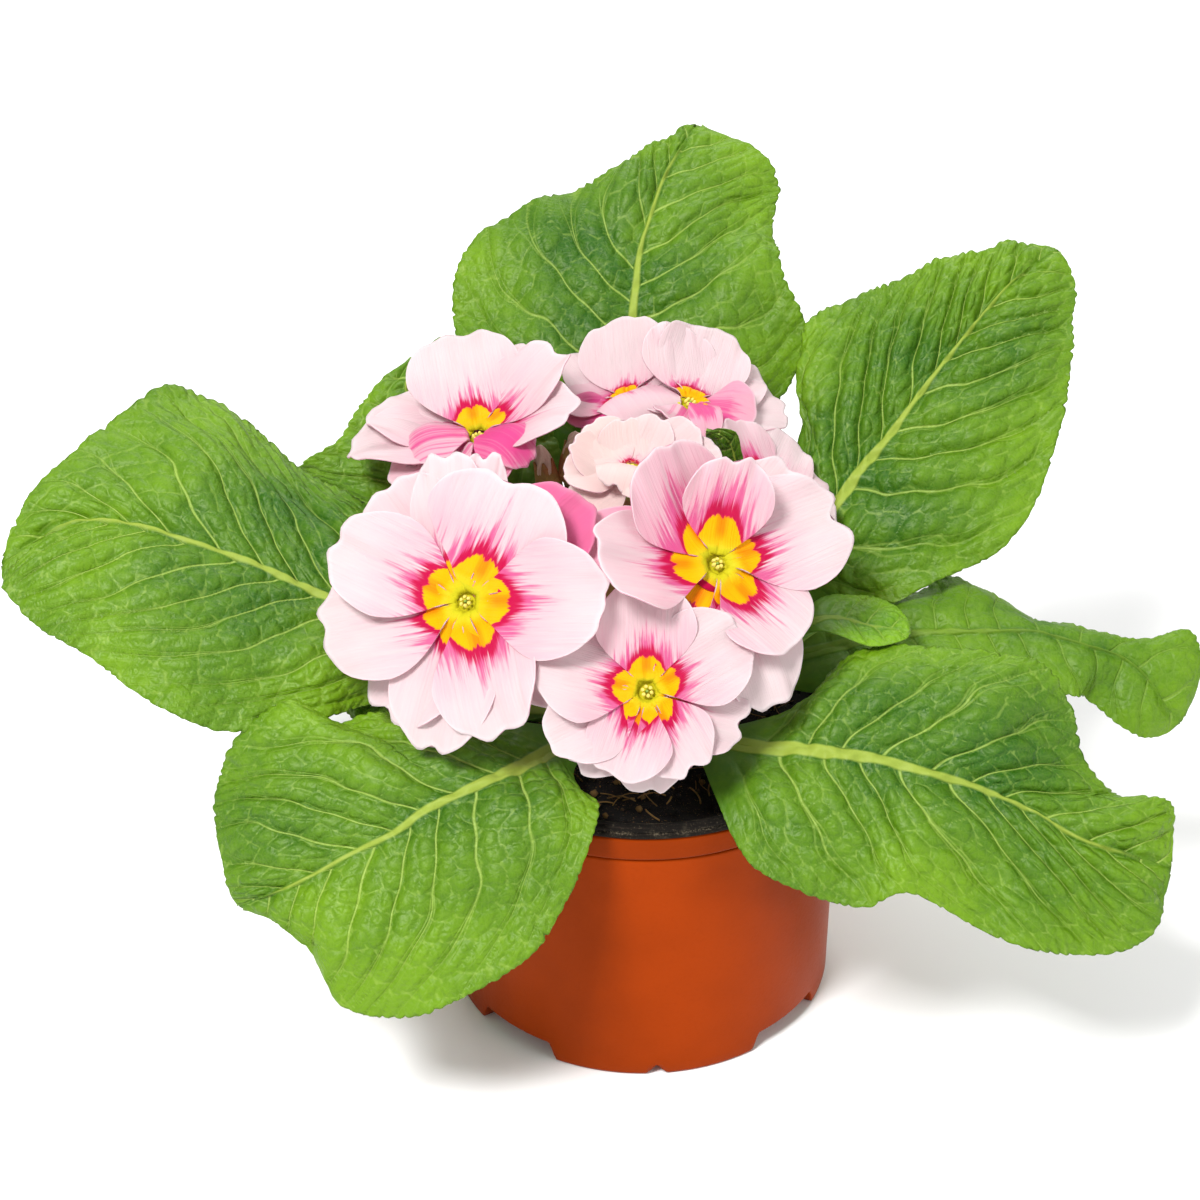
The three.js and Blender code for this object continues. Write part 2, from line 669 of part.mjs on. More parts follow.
// A thin rod in a smooth curve that rises from the crown's top and meets `end` along `out`.
function risingRod(start, end, out, radius) {
  const reach = start.distanceTo(end);
  const path = new THREE.CubicBezierCurve3(
    start,
    start.clone().add(new THREE.Vector3(0, 0, reach * 0.35)),
    end.clone().addScaledVector(out, -reach * 0.35),
    end,
  );
  const section = new THREE.Shape(
    Array.from({ length: 8 }, (_, i) => {
      const angle = (i * Math.PI) / 4;
      return new THREE.Vector2(radius * Math.cos(angle), radius * Math.sin(angle));
    }),
  );
  return solidOf(new THREE.ExtrudeGeometry(section, { steps: 8, bevelEnabled: false, extrudePath: path }));
}

// A point on the crown's top, at an azimuth in degrees and a distance from its axis.
function onCrown(azimuth, fan) {
  const angle = THREE.MathUtils.degToRad(azimuth);
  return new THREE.Vector3(Math.cos(angle) * fan, Math.sin(angle) * fan, CROWN_TOP);
}

// A pedicel, from the crown's top to the foot of the calyx.
function makePedicel(flower, grow = 0) {
  const { out } = flowerAxes(flower);
  const end = vec(flower.at).addScaledVector(out, -4 - CALYX_LENGTH - GAP + grow);
  return risingRod(onCrown(flower.from, PEDICEL_FAN), end, out, PEDICEL_RADIUS + grow);
}

// A bud: a calyx closed round the furled petals, which stand out of it in a cone.
function makeBud(bud, grow = 0) {
  const reach = BUD_RADIUS + grow;
  return latheAbout(
    [[0, BUD_FOOT - grow], [reach * 0.5, BUD_FOOT - grow], [reach * 0.95, BUD_FOOT + 3], [reach, -2],
      [reach * 0.72, 2], [reach * 0.45, BUD_TIP - 1.5 + grow], [0, BUD_TIP + grow]],
    10,
    bud,
  );
}

function makeBudPedicel(bud, grow = 0) {
  const { out } = flowerAxes(bud);
  const end = vec(bud.at).addScaledVector(out, BUD_FOOT - GAP + grow);
  return risingRod(onCrown(bud.from, BUD_PEDICEL_FAN), end, out, BUD_PEDICEL_RADIUS + grow);
}

// ---------------------------------------------------------------- the whole object

// Pieces in order of precedence. Each is trimmed clear of the grown shapes of those before it,
// so that crowded leaves and petals press against each other without overlapping.
const pieces = [];

function touching(a, b) {
  const [p, q] = [a.boundingBox(), b.boundingBox()];
  return [0, 1, 2].every((i) => p.min[i] < q.max[i] && q.min[i] < p.max[i]);
}

function addPiece(name, colour, make) {
  let solid = make(0);
  for (const earlier of pieces) {
    if (!touching(solid, earlier.grown)) continue;
    solid = largestBody(solid.subtract(earlier.grown));
  }
  pieces.push({ name, colour, solid, grown: make(GAP).add(solid) });
}

const FLOWER_ORDER = [
  "front_low", "front_left", "front_right", "centre", "back_left", "back_right", "back_middle", "side_right",
];

addPiece("crown", COLOURS.crown, makeCrown);
for (const [name, leaf] of Object.entries(LEAVES)) {
  const colour = name.includes("small") || name.includes("young") ? COLOURS.leaf_small : COLOURS.leaf;
  addPiece(name, colour, (grow) => makeLeaf(leaf, grow));
}
for (const name of FLOWER_ORDER) {
  addPiece("calyx_" + name, COLOURS.calyx, (grow) => makeCalyx(FLOWERS[name], grow));
  addPiece("stalk_" + name, COLOURS.stalk, (grow) => makePedicel(FLOWERS[name], grow));
}
for (const [name, bud] of Object.entries(BUDS)) {
  addPiece("bud_" + name, COLOURS.bud, (grow) => makeBud(bud, grow));
  addPiece("stalk_bud_" + name, COLOURS.stalk, (grow) => makeBudPedicel(bud, grow));
}
for (const name of FLOWER_ORDER) {
  addPiece("corolla_" + name, COLOURS.corolla, (grow) => makeCorolla(FLOWERS[name], grow));
  addPiece("stamens_" + name, COLOURS.stamens, () => makeStamens(FLOWERS[name]));
}
pieces.push({ name: "pot", colour: COLOURS.pot, solid: makePot() });
pieces.push({ name: "soil", colour: COLOURS.soil, solid: makeSoil() });

const primrose = new THREE.Group();
primrose.name = "potted_primrose";
for (const { name, colour, solid } of pieces) {
  const material = new THREE.MeshStandardMaterial({ color: colour, roughness: 0.6, metalness: 0 });
  const mesh = new THREE.Mesh(geometryOf(solid), material);
  mesh.name = name;
  primrose.add(mesh);
}

export default primrose;
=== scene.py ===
"""A potted primrose in flower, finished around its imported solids.

The plant is laid out like an add-on: the panel lists one operator for each kind of piece, and
main() runs them in order. Every surface is worked out with numpy from the same sizes as the
solids, in millimetres, and goes into its mesh in metres.
"""

from math import cos, pi, radians, sin

import bpy
import numpy as np
from bpy.props import FloatProperty, FloatVectorProperty, PointerProperty
from bpy.types import Operator, Panel, PropertyGroup
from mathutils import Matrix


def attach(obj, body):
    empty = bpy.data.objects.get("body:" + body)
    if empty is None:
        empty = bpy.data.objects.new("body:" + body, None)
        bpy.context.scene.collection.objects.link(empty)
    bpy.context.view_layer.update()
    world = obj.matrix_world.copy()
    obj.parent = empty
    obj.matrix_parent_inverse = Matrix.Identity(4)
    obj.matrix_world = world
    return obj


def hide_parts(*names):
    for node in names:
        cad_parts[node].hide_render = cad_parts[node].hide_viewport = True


bl_info = {
    "name": "Potted Primrose",
    "version": (1, 0, 0),
    "blender": (4, 5, 0),
    "location": "3D View > Sidebar > Primrose",
    "description": "Builds a potted primrose: leaves, flowers, soil, pot and stage",
    "category": "Object",
}

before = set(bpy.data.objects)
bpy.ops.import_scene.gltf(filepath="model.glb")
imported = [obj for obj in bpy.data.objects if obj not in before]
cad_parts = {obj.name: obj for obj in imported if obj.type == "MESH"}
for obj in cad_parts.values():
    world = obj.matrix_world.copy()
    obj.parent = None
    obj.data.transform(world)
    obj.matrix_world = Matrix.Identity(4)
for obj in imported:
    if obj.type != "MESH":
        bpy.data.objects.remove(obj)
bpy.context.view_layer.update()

MM = 0.001
BODY = "root"
ASKEW = np.array([0.31, 0.17, 0.93])  # a direction that no rod runs along

# ------------------------------------------------------------------ the plant, in millimetres

# Leaves. `slot` is the azimuth on the crown that the petiole leaves from, `stalk` its middle
# line up to the blade and `width` its half width. Each row of `blade` holds the midrib, the
# left edge and the right edge, as seen looking outwards; `tip` closes the blade. Angles in these
# tables are in degrees.
LEAVES = {
    "leaf_left": {
        "slot": 178, "width": 2.6, "stalk": [[-21, -2, 78]],
        "blade": [
            [[-37, -7, 87], [-40, -12, 82], [-42, 2, 92]],
            [[-54, -5, 94], [-67, -21, 81], [-65, 26, 107]],
            [[-70, 0, 99], [-87, -27, 81], [-83, 38, 113]],
            [[-84, 4, 104], [-102, -25, 86], [-96, 45, 122]],
            [[-97, 6, 108], [-117, -18, 94], [-108, 42, 126]],
            [[-111, 9, 111], [-127, -13, 97], [-122, 28, 120]],
            [[-124, 9, 111], [-135, -6, 101], [-134, 14, 113]],
        ],
        "tip": [-138, 2, 105],
    },
    "leaf_back": {
        "slot": 92, "width": 2.8, "stalk": [[-3, 20, 82], [-4, 38, 93]],
        "blade": [
            [[-4, 56, 104], [-22, 57, 103], [14, 52, 98]],
            [[-3, 70, 117], [-42, 77, 118], [33, 68, 110]],
            [[-2, 79, 125], [-44, 89, 128], [39, 79, 122]],
            [[-1, 86, 132], [-38, 100, 138], [34, 86, 133]],
            [[0, 93, 137], [-20, 107, 144], [32, 98, 137]],
            [[2, 98, 142], [-5, 112, 150], [33, 108, 142]],
            [[6, 109, 149], [3, 117, 154], [34, 113, 146]],
            [[11, 118, 154], [9, 121, 156], [27, 120, 152]],
        ],
        "tip": [14, 124, 156],
    },
    "leaf_back_right": {
        "slot": 52, "width": 2.8, "stalk": [[17, 15, 79]],
        "blade": [
            [[33, 24, 93], [33, 36, 101], [40.5, 16, 85.5]],
            [[41, 28, 102], [37, 59, 120], [53, 12, 88]],
            [[45, 31, 106], [38, 68, 129], [66, 15, 93]],
            [[49, 35, 110], [46, 72, 134], [79, 19, 98]],
            [[55, 40, 115], [54, 72, 136], [89, 29, 108]],
            [[65, 49, 125], [68, 75, 142], [96, 47, 124]],
            [[82, 65, 139], [84, 78, 145], [99, 65, 137]],
            [[91, 72, 143.5], [91, 78, 145], [99, 71, 141]],
        ],
        "tip": [96, 75, 145],
    },
    "leaf_front_right": {
        "slot": -44, "width": 3, "stalk": [[12, -18, 74]],
        "blade": [
            [[21, -27, 77], [26, -21, 80.5], [14.5, -38.5, 72.5]],
            [[30, -31, 80], [36, -17, 83], [20.5, -51, 66]],
            [[38, -34, 81], [46, -11, 92], [31, -55, 61]],
            [[48, -35, 80], [67, -13, 92], [44, -57, 58]],
            [[58, -37, 78], [81, -16, 93], [54, -56, 61]],
            [[66, -38, 76], [89, -20, 86], [70, -59, 53]],
            [[74, -39, 73], [93, -27, 75], [81, -61, 50]],
            [[82, -41, 70], [99, -32, 67], [91, -60, 48]],
            [[90, -44, 66], [106, -36, 71], [100, -58, 48]],
            [[99, -45, 63], [111, -37, 68], [107, -53, 52]],
        ],
        "tip": [110, -44, 58],
    },
    "leaf_front_left": {
        "slot": -112, "width": 3, "stalk": [[-11, -16, 73]],
        "blade": [
            [[-19, -27, 76], [-15, -32, 74], [-26, -22, 80]],
            [[-26, -35, 78], [-10, -44, 75], [-41, -25, 84]],
            [[-33, -40, 78], [-12, -52, 69], [-56, -22, 82]],
            [[-39, -42, 76], [-17, -58, 59], [-67, -21, 79]],
            [[-46, -44, 73], [-24, -64, 51], [-75, -23, 86]],
            [[-52, -46, 69], [-36, -67, 44], [-84, -25, 80]],
            [[-60, -47, 65], [-49, -68, 38], [-90, -29, 71]],
            [[-68, -49, 61], [-61, -66, 38], [-91, -36, 65]],
            [[-74, -50, 58], [-68, -59, 44], [-89, -42, 59]],
            [[-80, -50, 55], [-76, -53, 50], [-87, -46, 54]],
        ],
        "tip": [-85, -48, 51],
    },
    "leaf_right": {
        "slot": 14, "width": 2, "stalk": [[20, 4, 75]],
        "blade": [
            [[36, 4, 80], [34, 10, 83], [38, -5, 76]],
            [[49, 6, 83], [46, 13, 87], [52, -3, 79]],
            [[62, 6, 85], [60, 18, 88], [65, -4, 78]],
            [[75, 5, 86], [69, 22, 89], [78, -6, 77]],
            [[86, 5, 86], [80, 18, 85], [87, -8, 78]],
            [[96, 3, 84], [95, 10, 83], [95, -8, 77]],
            [[105, 2, 81], [110, 7, 83], [98, -4, 73]],
            [[111, -1, 77], [121, 10, 82], [105, -6, 68]],
            [[115, -3, 71], [123, 3, 76], [112, -6, 65]],
        ],
        "tip": [119, -3, 67],
    },
    "leaf_back_left": {
        "slot": 134, "width": 2.4, "stalk": [[-14, 14, 81], [-23, 24, 90]],
        "blade": [
            [[-32, 35, 98], [-54, 29, 92], [-18, 46, 102]],
            [[-41, 41, 105], [-78, 39, 102], [-22, 57, 110]],
            [[-48, 47, 111], [-77, 40, 108], [-28, 65, 117]],
            [[-52, 52, 116], [-69, 45, 112], [-35, 68, 122]],
            [[-54, 57, 120], [-64, 53, 117], [-43, 70, 124]],
        ],
        "tip": [-52, 66, 123],
    },
    "leaf_small_right": {
        "slot": -14, "width": 1.5, "stalk": [[20, -3, 79], [31, -5, 90]],
        "blade": [
            [[36.5, -6, 95], [36.5, 0, 96], [36.5, -9, 94.5]],
            [[41.5, -5, 95.5], [42, 4.5, 95.5], [41, -11, 95]],
            [[48, -6, 94.5], [49, 3, 95], [47.5, -13, 93.5]],
            [[53.5, -7, 94], [55.5, 0, 94], [53, -12, 93.5]],
        ],
        "tip": [57, -8.5, 93.5],
    },
    "leaf_small_left": {
        "slot": -156, "width": 1.8, "stalk": [[-18, -8, 73]],
        "blade": [
            [[-31, -11, 76], [-31, -15, 74], [-31, -6, 78]],
            [[-42, -14, 79], [-44, -22, 73], [-41, -3, 83]],
            [[-51, -13, 80], [-54, -20, 74], [-51, 1, 85]],
            [[-59, -9, 79], [-62, -15, 75], [-61, 3, 84]],
        ],
        "tip": [-67, -5, 78],
    },
    "leaf_young": {
        "slot": 72, "width": 1, "stalk": [[8, 16, 84], [17, 15, 106]],
        "blade": [
            [[19.8, 14, 119.5], [18, 16, 118], [21, 12, 121]],
            [[19.2, 13, 125], [16, 17, 121], [20.5, 11, 127.5]],
            [[17.3, 12, 129.5], [14.5, 17, 125], [19, 11, 132]],
        ],
        "tip": [13, 13, 131],
    },
}
PETIOLE_START = 9.3
PETIOLE_LEVEL = 70
SMALL_LEAVES = ("leaf_small_right", "leaf_small_left", "leaf_young")
TIP_SHARE = 0.12  # how much of the last row's width is left at the tip
CELL_SPACING = 0.46  # distance between the cells among fine veins, as a share of the pitch
RIB_UNIT = 4  # the midrib's half width is painted in units of this length
BASE_PITCH = 9  # a leaf with its lateral veins this far apart has relief of the sizes given
LEAF_GRID = (241, 101)  # rows and columns
SMALL_LEAF_GRID = (121, 41)

# Flowers. `at` is the mouth of the tube, `facing` the way the flower looks and `from` the azimuth
# on the crown that its pedicel leaves from. Each petal is [azimuth, length, width, lift above the
# flower's plane], topmost first, and azimuth 90 is the way UPHILL points. `cup` is the share of its
# lift that a petal already has at the mouth, which is CUP where a flower gives none.
UPHILL = np.array([0, 0.53, 0.85])
CUP = 0.25
FLOWERS = {
    "front_left": {
        "at": [-37, -25, 112], "facing": [-0.32, -0.7, 0.64], "from": 205,
        "petals": [
            [0, 31.5, 25, 8], [64, 27.5, 33, 10], [157, 32.5, 22, 6], [104, 32.5, 18, 2],
            [288, 28.5, 24, 3], [190, 33, 27, 2], [130, 32.5, 24, 0], [256, 31, 24, -1],
            [88, 32.5, 12, -2], [230, 30, 24, -4], [46, 31.5, 24, -4], [325, 30, 20, -5],
        ],
    },
    "front_right": {
        "at": [14.5, -20, 118], "facing": [0.3, -0.5, 0.81], "from": 310,
        "petals": [
            [80, 22, 20, 38], [121, 26.5, 26, 24], [20, 31, 26, 8], [182, 29, 23, 16], [312, 23, 22, 4],
            [235, 18, 20, -12], [293, 31, 22, -12], [46, 30, 20, 8], [160, 31, 20, -10],
        ],
    },
    "front_low": {
        "at": [0, -40, 100], "facing": [0.08, -0.76, 0.65], "from": 268,
        "petals": [
            [91, 22, 21, 8], [30, 23, 21, 4], [165, 22.5, 20, 4], [300, 19, 17, -2],
            [250, 18.5, 18, 2], [206, 22, 18, 0], [136, 23.5, 19, -4], [342, 22, 18, -6],
            [227, 21, 16, -10], [273, 21, 16, -10],
        ],
    },
    "back_left": {
        "at": [-36.4, 29, 121], "facing": [-0.22, -0.08, 0.97], "from": 142, "cup": 1.3,
        "petals": [
            [205, 17, 15, 1], [328, 17.5, 14, 2], [113, 29, 26, 26], [190, 29, 24, 8], [52, 27, 20, 24],
            [8, 24, 21, 20], [163, 28, 22, 12], [80, 28, 20, 20], [232, 22, 20, 6], [285, 19, 18, 2],
        ],
    },
    "back_middle": {
        "at": [-3.6, 44.5, 122], "facing": [-0.32, -0.08, 0.94], "from": 66,
        "petals": [
            [320, 14, 18, -8], [108, 23, 22, 24], [182, 17, 16, 16], [136, 23, 18, 14], [208, 14, 11, 12],
            [84, 22, 18, 18], [262, 14, 14, 6], [30, 12, 14, 8],
        ],
    },
    "back_right": {
        "at": [10.5, 37.5, 125], "facing": [0.3, -0.15, 0.94], "from": 28,
        "petals": [
            [330, 15, 15, 8], [266, 15, 7, 5], [60, 26, 22, 13], [82, 23, 19, 16], [36, 25, 20, 8],
            [2, 25, 18, 2], [345, 24, 18, -6], [150, 11, 12, -10], [230, 12, 13, 22],
        ],
    },
    "centre": {
        "at": [-3, 9, 124], "facing": [-0.05, -0.42, 0.9], "from": 104,
        "petals": [
            [192, 14.5, 12, 14], [252, 10, 12, 30], [128, 13.5, 13, 18], [222, 16, 13, 2],
            [95, 11.5, 13, 20], [163, 13.5, 12, 26], [62, 13, 12, 24], [30, 16.5, 13, 22],
            [6, 19, 13, 18], [300, 14, 12, 28], [345, 18, 14, 16],
        ],
    },
    "side_right": {
        "at": [27, 20, 114], "facing": [0.45, -0.1, 0.88], "from": 350,
        "petals": [
            [95, 17, 17, 16], [45, 19, 18, 12], [15, 18, 18, 6], [150, 16, 17, 18], [320, 18, 17, 4],
            [250, 17, 17, 6],
        ],
    },
}
# Closed buds among the pedicels, given in the same way; `at` is the mouth of the calyx.
BUDS = {
    "left": {"at": [-22, 37.5, 109], "facing": [-0.2, -0.1, 0.97], "from": 150},
    "back": {"at": [-15.5, 37, 113], "facing": [0.1, -0.2, 0.97], "from": 110},
    "front": {"at": [-9.7, 2, 103], "facing": [-0.15, -0.25, 0.95], "from": -90},
    "right": {"at": [10, 20, 110], "facing": [0.2, 0.15, 0.96], "from": 20},
}

# How each leaf is veined: the distance between lateral veins, how far they lean forward on the
# left and on the right of the midrib, and how puckered the blade is between them.
VEINS = {
    "leaf_left": (10, 1.0, 0.5, 0.8),
    "leaf_back": (10, 0.6, 0.5, 0.8),
    "leaf_back_right": (9.5, 0.4, 0.55, 1.6),
    "leaf_front_right": (9, 0.3, 0.6, 1.1),
    "leaf_front_left": (8.5, 0.7, 0.4, 0.9),
    "leaf_right": (8, 0.4, 0.4, 0.3),
    "leaf_back_left": (9.5, 0.5, 0.5, 0.8),
    "leaf_small_right": (4.5, 0.4, 0.4, 1.0),
    "leaf_small_left": (6, 0.4, 0.4, 1.0),
    "leaf_young": (3, 0.3, 0.3, 1.2),
}

# What sets flowers apart: the size of the eye as a share of the usual, a tint below zero for a
# paler, peach-coloured young flower, and five lists by the azimuth of the petal: those flushed a
# deeper pink, which is partly the petal's own colour and partly painted shade on lifted and near
# petals, those twisted about their own length, those notched at the tip, those arched, which
# leave the mouth at a steep angle of their own, and those near ones that stand before the eye and
# bear no part of it.
FLOWER_LOOKS = {
    "front_left": {
        "eye": 0.89,
        "flushed": {46: 1.1, 0: 0.12, 130: 0.1, 88: 0.1},
        "notched": {64: 0.10, 104: 0.04, 130: 0.08, 288: 0.07},
    },
    "front_right": {
        "eye": 1.04,
        "flushed": {121: 0.35, 80: 0.15, 160: 0.8, 182: 0.1},
        "notched": {20: 0.10, 182: 0.05},
    },
    "front_low": {"eye": 0.92, "flushed": {91: 0.05}, "notched": {300: 0.12, 342: 0.1}},
    "back_left": {
        "eye": 0.92,
        "flushed": {328: 0.84, 205: 0.5, 232: 0.3, 8: 0.1, 285: 0.8},
        "twisted": {328: 0.1, 205: -0.1},
        "notched": {52: 0.09},
        "arched": {328: 34, 205: 28},
        "veiled": (328, 205, 232, 285),
    },
    "back_middle": {
        "eye": 0.7,
        "flushed": {320: 0.25, 208: 1.0, 182: 0.3, 262: 0.8},
        "twisted": {208: -0.3, 320: -0.35},
        "arched": {320: 54},
        "veiled": (320, 208, 262),
    },
    "back_right": {
        "eye": 0.7,
        "flushed": {330: 0.7, 266: 0.7, 345: 0.2, 230: 0.3},
        "twisted": {330: 0.45, 266: 0.4},
        "arched": {266: 38},
        "veiled": (330, 266, 230),
    },
    "centre": {
        "eye": 0.38, "tint": -0.75,
        "flushed": {30: 0.45, 6: 0.6, 62: 0.3, 345: 0.8},
        "arched": {252: 78, 300: 66},
        "veiled": (252, 300),
    },
    "side_right": {"flushed": {250: 0.6, 95: 0.15}},
}

# Flowers, buds, crown and pedicels. A profile is a row of (radius, height), and a paint holds what
# the piece's material reads.
BASE_PETAL = 28  # a petal of this length has folds and waves of the sizes given
TUBE_MOUTH = 1.9  # radius of the mouth that the petals spread from
PETAL_STEP = 0.34  # how far each petal lies below the last one
VEIL = 0.62  # the distance from the mouth that a veiled petal's colours begin at
LARGE_FLOWER = 18  # mean length of the petals above which a flower gets the large grid
LARGE_PETAL_GRID = (39, 35)
SMALL_PETAL_GRID = (31, 25)
TUBE_PROFILE = (
    (0, -14), (1.7, -14), (1.9, -8), (2.0, -2), (2.6, -0.9), (2.7, -0.7), (2.2, -0.6), (1.5, -1.6),
    (1.2, -4), (0, -4.4))
COLLAR_SHARE = 0.22  # radius of the collar behind the petals, as a share of their mean length
THROAT_PAINT = (0.5, 0.03, 0, 0)
RING_PAINT = (0.655, 0.26, 0, 0)
ANTHERS = 6
ANTHER_RADIUS = 0.42
STIGMA_RADIUS = 0.36
CALYX_TOP = -4  # heights of calyx and bud are above the mouth of the flower, or of the bud's calyx
CALYX_FOOT = -17
CALYX_RADIUS = 3.6
CALYX_WALL = 0.45
BUD_RADIUS = 3
BUD_FOOT = -10
BUD_TIP = 6
BUD_HIDDEN = 2.5  # how deep in its calyx the furled petals of a bud begin
BUD_PAINT = (0.45, 0, 0, 0)
CROWN_PROFILE = (
    (0, 58), (5.5, 58), (8, 61), (8.3, 66), (8, 70), (6.4, 72.5), (3.5, 73.6), (0, 73.9))
CROWN_TOP = 74
OLD_LEAVES = 18
OLD_LEAF_FOOT = 62
OLD_LEAF_LENGTH = 10.5
PEDICEL_FAN = 4.6  # radius of the ring on the crown that the pedicels leave from
PEDICEL_RADIUS = 1.25
PEDICEL_DEPTH = 1.5  # how far below the crown's top a pedicel starts
PEDICEL_SINK = 0.2  # how far its end goes into the calyx
PEDICEL_POINTS = 48
BUD_PEDICEL_RADIUS = 0.95
BUD_PEDICEL_FAN = 2.1

# The pot stands on feet between its arches, each foot with a notch in its middle. A drain channel
# runs in from each arch under the floor, past a drain hole.
RIM_RADIUS = 45
RIM_FOOT = 65.9  # the pot is black above this height
POT_SIDES = 480
FIRST_ARCH = radians(-41)
ARCH_SPAN = radians(30)
ARCH_HEIGHT = 4.8
ARCH_COUNT = 4
NOTCH_WIDTH = 5.3
NOTCH_HEIGHT = 3
CHANNEL_START = 14  # distance from the pot's axis where a channel begins
CHANNEL_FULL = 22  # and where it is as deep as the arch is high
DRAIN_HOLE_RADIUS = 3
DRAIN_HOLE_AT = 30  # distance from the pot's axis
DRAIN_HOLE_DEPTH = 5

SOIL_TOP = 66
SOIL_FOOT = 58  # where the peat and the inside of the pot end
SOIL_RADIUS = 40.8
SOIL_RINGS = 70
SOIL_SIDES = 220
LUMPS = 700  # in the top of the peat
BATCH = 2000  # points of the peat that are worked out at a time, to save memory
CRUMBS = 640
CRUMB_PROFILE = ((0.75, -0.5), (1.0, 0.1), (0.6, 0.65))
CRUMB_SIDES = 6
FIBRES = 190

# Tones of small parts and of streaks. A glow is light let through, and a sheen is a reflection's.
CALYX_BLUSH = (0.26, 0.10, 0.025)
STALK_BLUSH = (0.20, 0.055, 0.020)
BUD_SKIN = ((0.26, 0.15, 0.030), (0.28, 0.085, 0.022))
CROWN_SKIN = ((0.20, 0.17, 0.06), (0.12, 0.07, 0.03))
HAIR = (0.40, 0.28, 0.12)
POLLEN = ((0.62, 0.45, 0.03), (0.85, 0.74, 0.20))
STIGMA = (0.22, 0.32, 0.05)
DUST = (0.26, 0.21, 0.14)
LEAF_GLOW = (0.20, 0.42, 0.02, 1)
PETAL_GLOW = (0.91, 0.70, 0.77, 1)
LEAF_SHEEN = (0.95, 1.0, 0.72, 1)
PETAL_SHEEN = (1.0, 0.6, 0.5, 1)
POT_SHEEN = (1.0, 0.7, 0.5, 1)

# The camera looks along +Y and down, from in front of the plant.
CAMERA_AT = (-9.5, -475.6, 393.9)
CAMERA_DOWN = radians(32)
CAMERA_LENS = 78

# The rest of the stage, in metres and watts. Each lamp has a name, a place, a power and a width.
FLOOR_HALF = 3
WORLD_STRENGTH = 0.55
LAMP_TARGET = (0, 0, 0.09)
LAMPS = (
    ("key", (-0.50, -0.75, 1.30), 27.5, 0.36),
    ("fill", (0.95, -0.55, 0.75), 4.0, 0.8),
    ("back", (0.1, 0.9, 1.1), 8.5, 0.9),
)


# ------------------------------------------------------------------ sizes and colours

def length(label, millimetres, text):
    """A size that the user can change, given in millimetres and kept in metres."""
    return FloatProperty(
        name=label, default=millimetres * MM, unit="LENGTH", precision=5, description=text)


def colour(label, value, text):
    """A colour that the user can change, in linear red, green and blue."""
    return FloatVectorProperty(
        name=label, default=value, subtype="COLOR", size=3, min=0, max=1, description=text)


class PrimroseSizes(PropertyGroup):
    """Depths and thicknesses that give the plant its relief."""
    vein_depth: length("Vein depth", 0.7, "How deep the lateral veins sink into a leaf")
    cushion: length("Cushion height", 0.45, "Height of the cushions between a leaf's veins")
    ruffle: length("Edge ruffle", 0.7, "Height of the waves along a leaf's edge")
    tooth: length("Tooth", 0.5, "How far the round teeth of a leaf's edge stand out")
    blade: length("Blade thickness", 0.4, "Thickness of a leaf between its veins")
    petal: length("Petal thickness", 0.3, "Thickness of a petal")


class PrimroseColours(PropertyGroup):
    """Base colours of the plant and its pot."""
    # leaf_deep and leaf_bright are mixed by random tone and the edge, and also carry painted shade in the
    # hollows and a painted highlight on the cushions.
    leaf_deep: colour("Leaf, deep", (0.018, 0.092, 0.003), "Leaf colour in its hollows")
    leaf_bright: colour("Leaf, bright", (0.134, 0.272, 0.004), "Leaf colour on its cushions and edges")
    leaf_under: colour("Leaf, underside", (0.170, 0.290, 0.060), "Underside of a leaf")
    vein: colour("Vein", (0.360, 0.500, 0.095), "Lateral veins")
    rib: colour("Midrib", (0.310, 0.400, 0.050), "Midrib and petiole")
    petal_pale: colour("Petal, pale", (0.770, 0.674, 0.670), "Outer part of a petal")
    petal_pink: colour("Petal, pink", (0.780, 0.290, 0.430), "Shaded and flushed parts of a petal")
    petal_rose: colour("Petal, rose", (0.680, 0.030, 0.235), "Streaks from the eye")
    petal_crimson: colour("Petal, crimson", (0.455, 0.001, 0.050), "Ring around the eye")
    petal_rim: colour("Petal, rim", (0.880, 0.820, 0.820), "Thin pale edge of a petal")
    petal_peach: colour("Petal, peach", (0.880, 0.710, 0.630), "Petals of a young flower")
    eye: colour("Eye", (0.850, 0.355, 0.001), "Yellow star of the eye")
    eye_streak: colour("Eye streak", (0.800, 0.190, 0.001), "Orange streak through each lobe of the eye")
    throat: colour("Throat", (0.500, 0.450, 0.012), "Mouth of the tube")
    stalk: colour("Stalk", (0.300, 0.150, 0.040), "Pedicels")
    calyx: colour("Calyx", (0.220, 0.220, 0.045), "Calyx")
    pot: colour("Pot", (0.295, 0.035, 0.0015), "Outer layer of the pot")
    pot_black: colour("Pot, black layer", (0.007, 0.0065, 0.006), "Inner layer and rim of the pot")
    peat: colour("Peat", (0.0035, 0.0025, 0.002), "Moist peat")
    fibre: colour("Fibre", (0.260, 0.150, 0.045), "Fibres and crumbs in the peat")
    floor: colour("Floor", (0.92, 0.92, 0.92), "Floor of the stage")


def sizes():
    """The sizes as the user has set them."""
    return bpy.context.scene.primrose_sizes


def colours():
    """The colours as the user has set them."""
    return bpy.context.scene.primrose_colours


def mm(value):
    """A length property in millimetres."""
    return value / MM


# ------------------------------------------------------------------ numbers and curves

def smooth(low, high, x):
    """0 below low, 1 above high, and a smooth step between them."""
    t = np.clip((x - low) / (high - low), 0, 1)
    return t * t * (3 - 2 * t)


def bell(x, width):
    """1 at zero, falling away as a bell of that width."""
    return np.exp(-((x / width) ** 2))


def unit(v):
    """Vectors made one long."""
    return v / np.maximum(np.linalg.norm(v, axis=-1, keepdims=True), 1e-9)


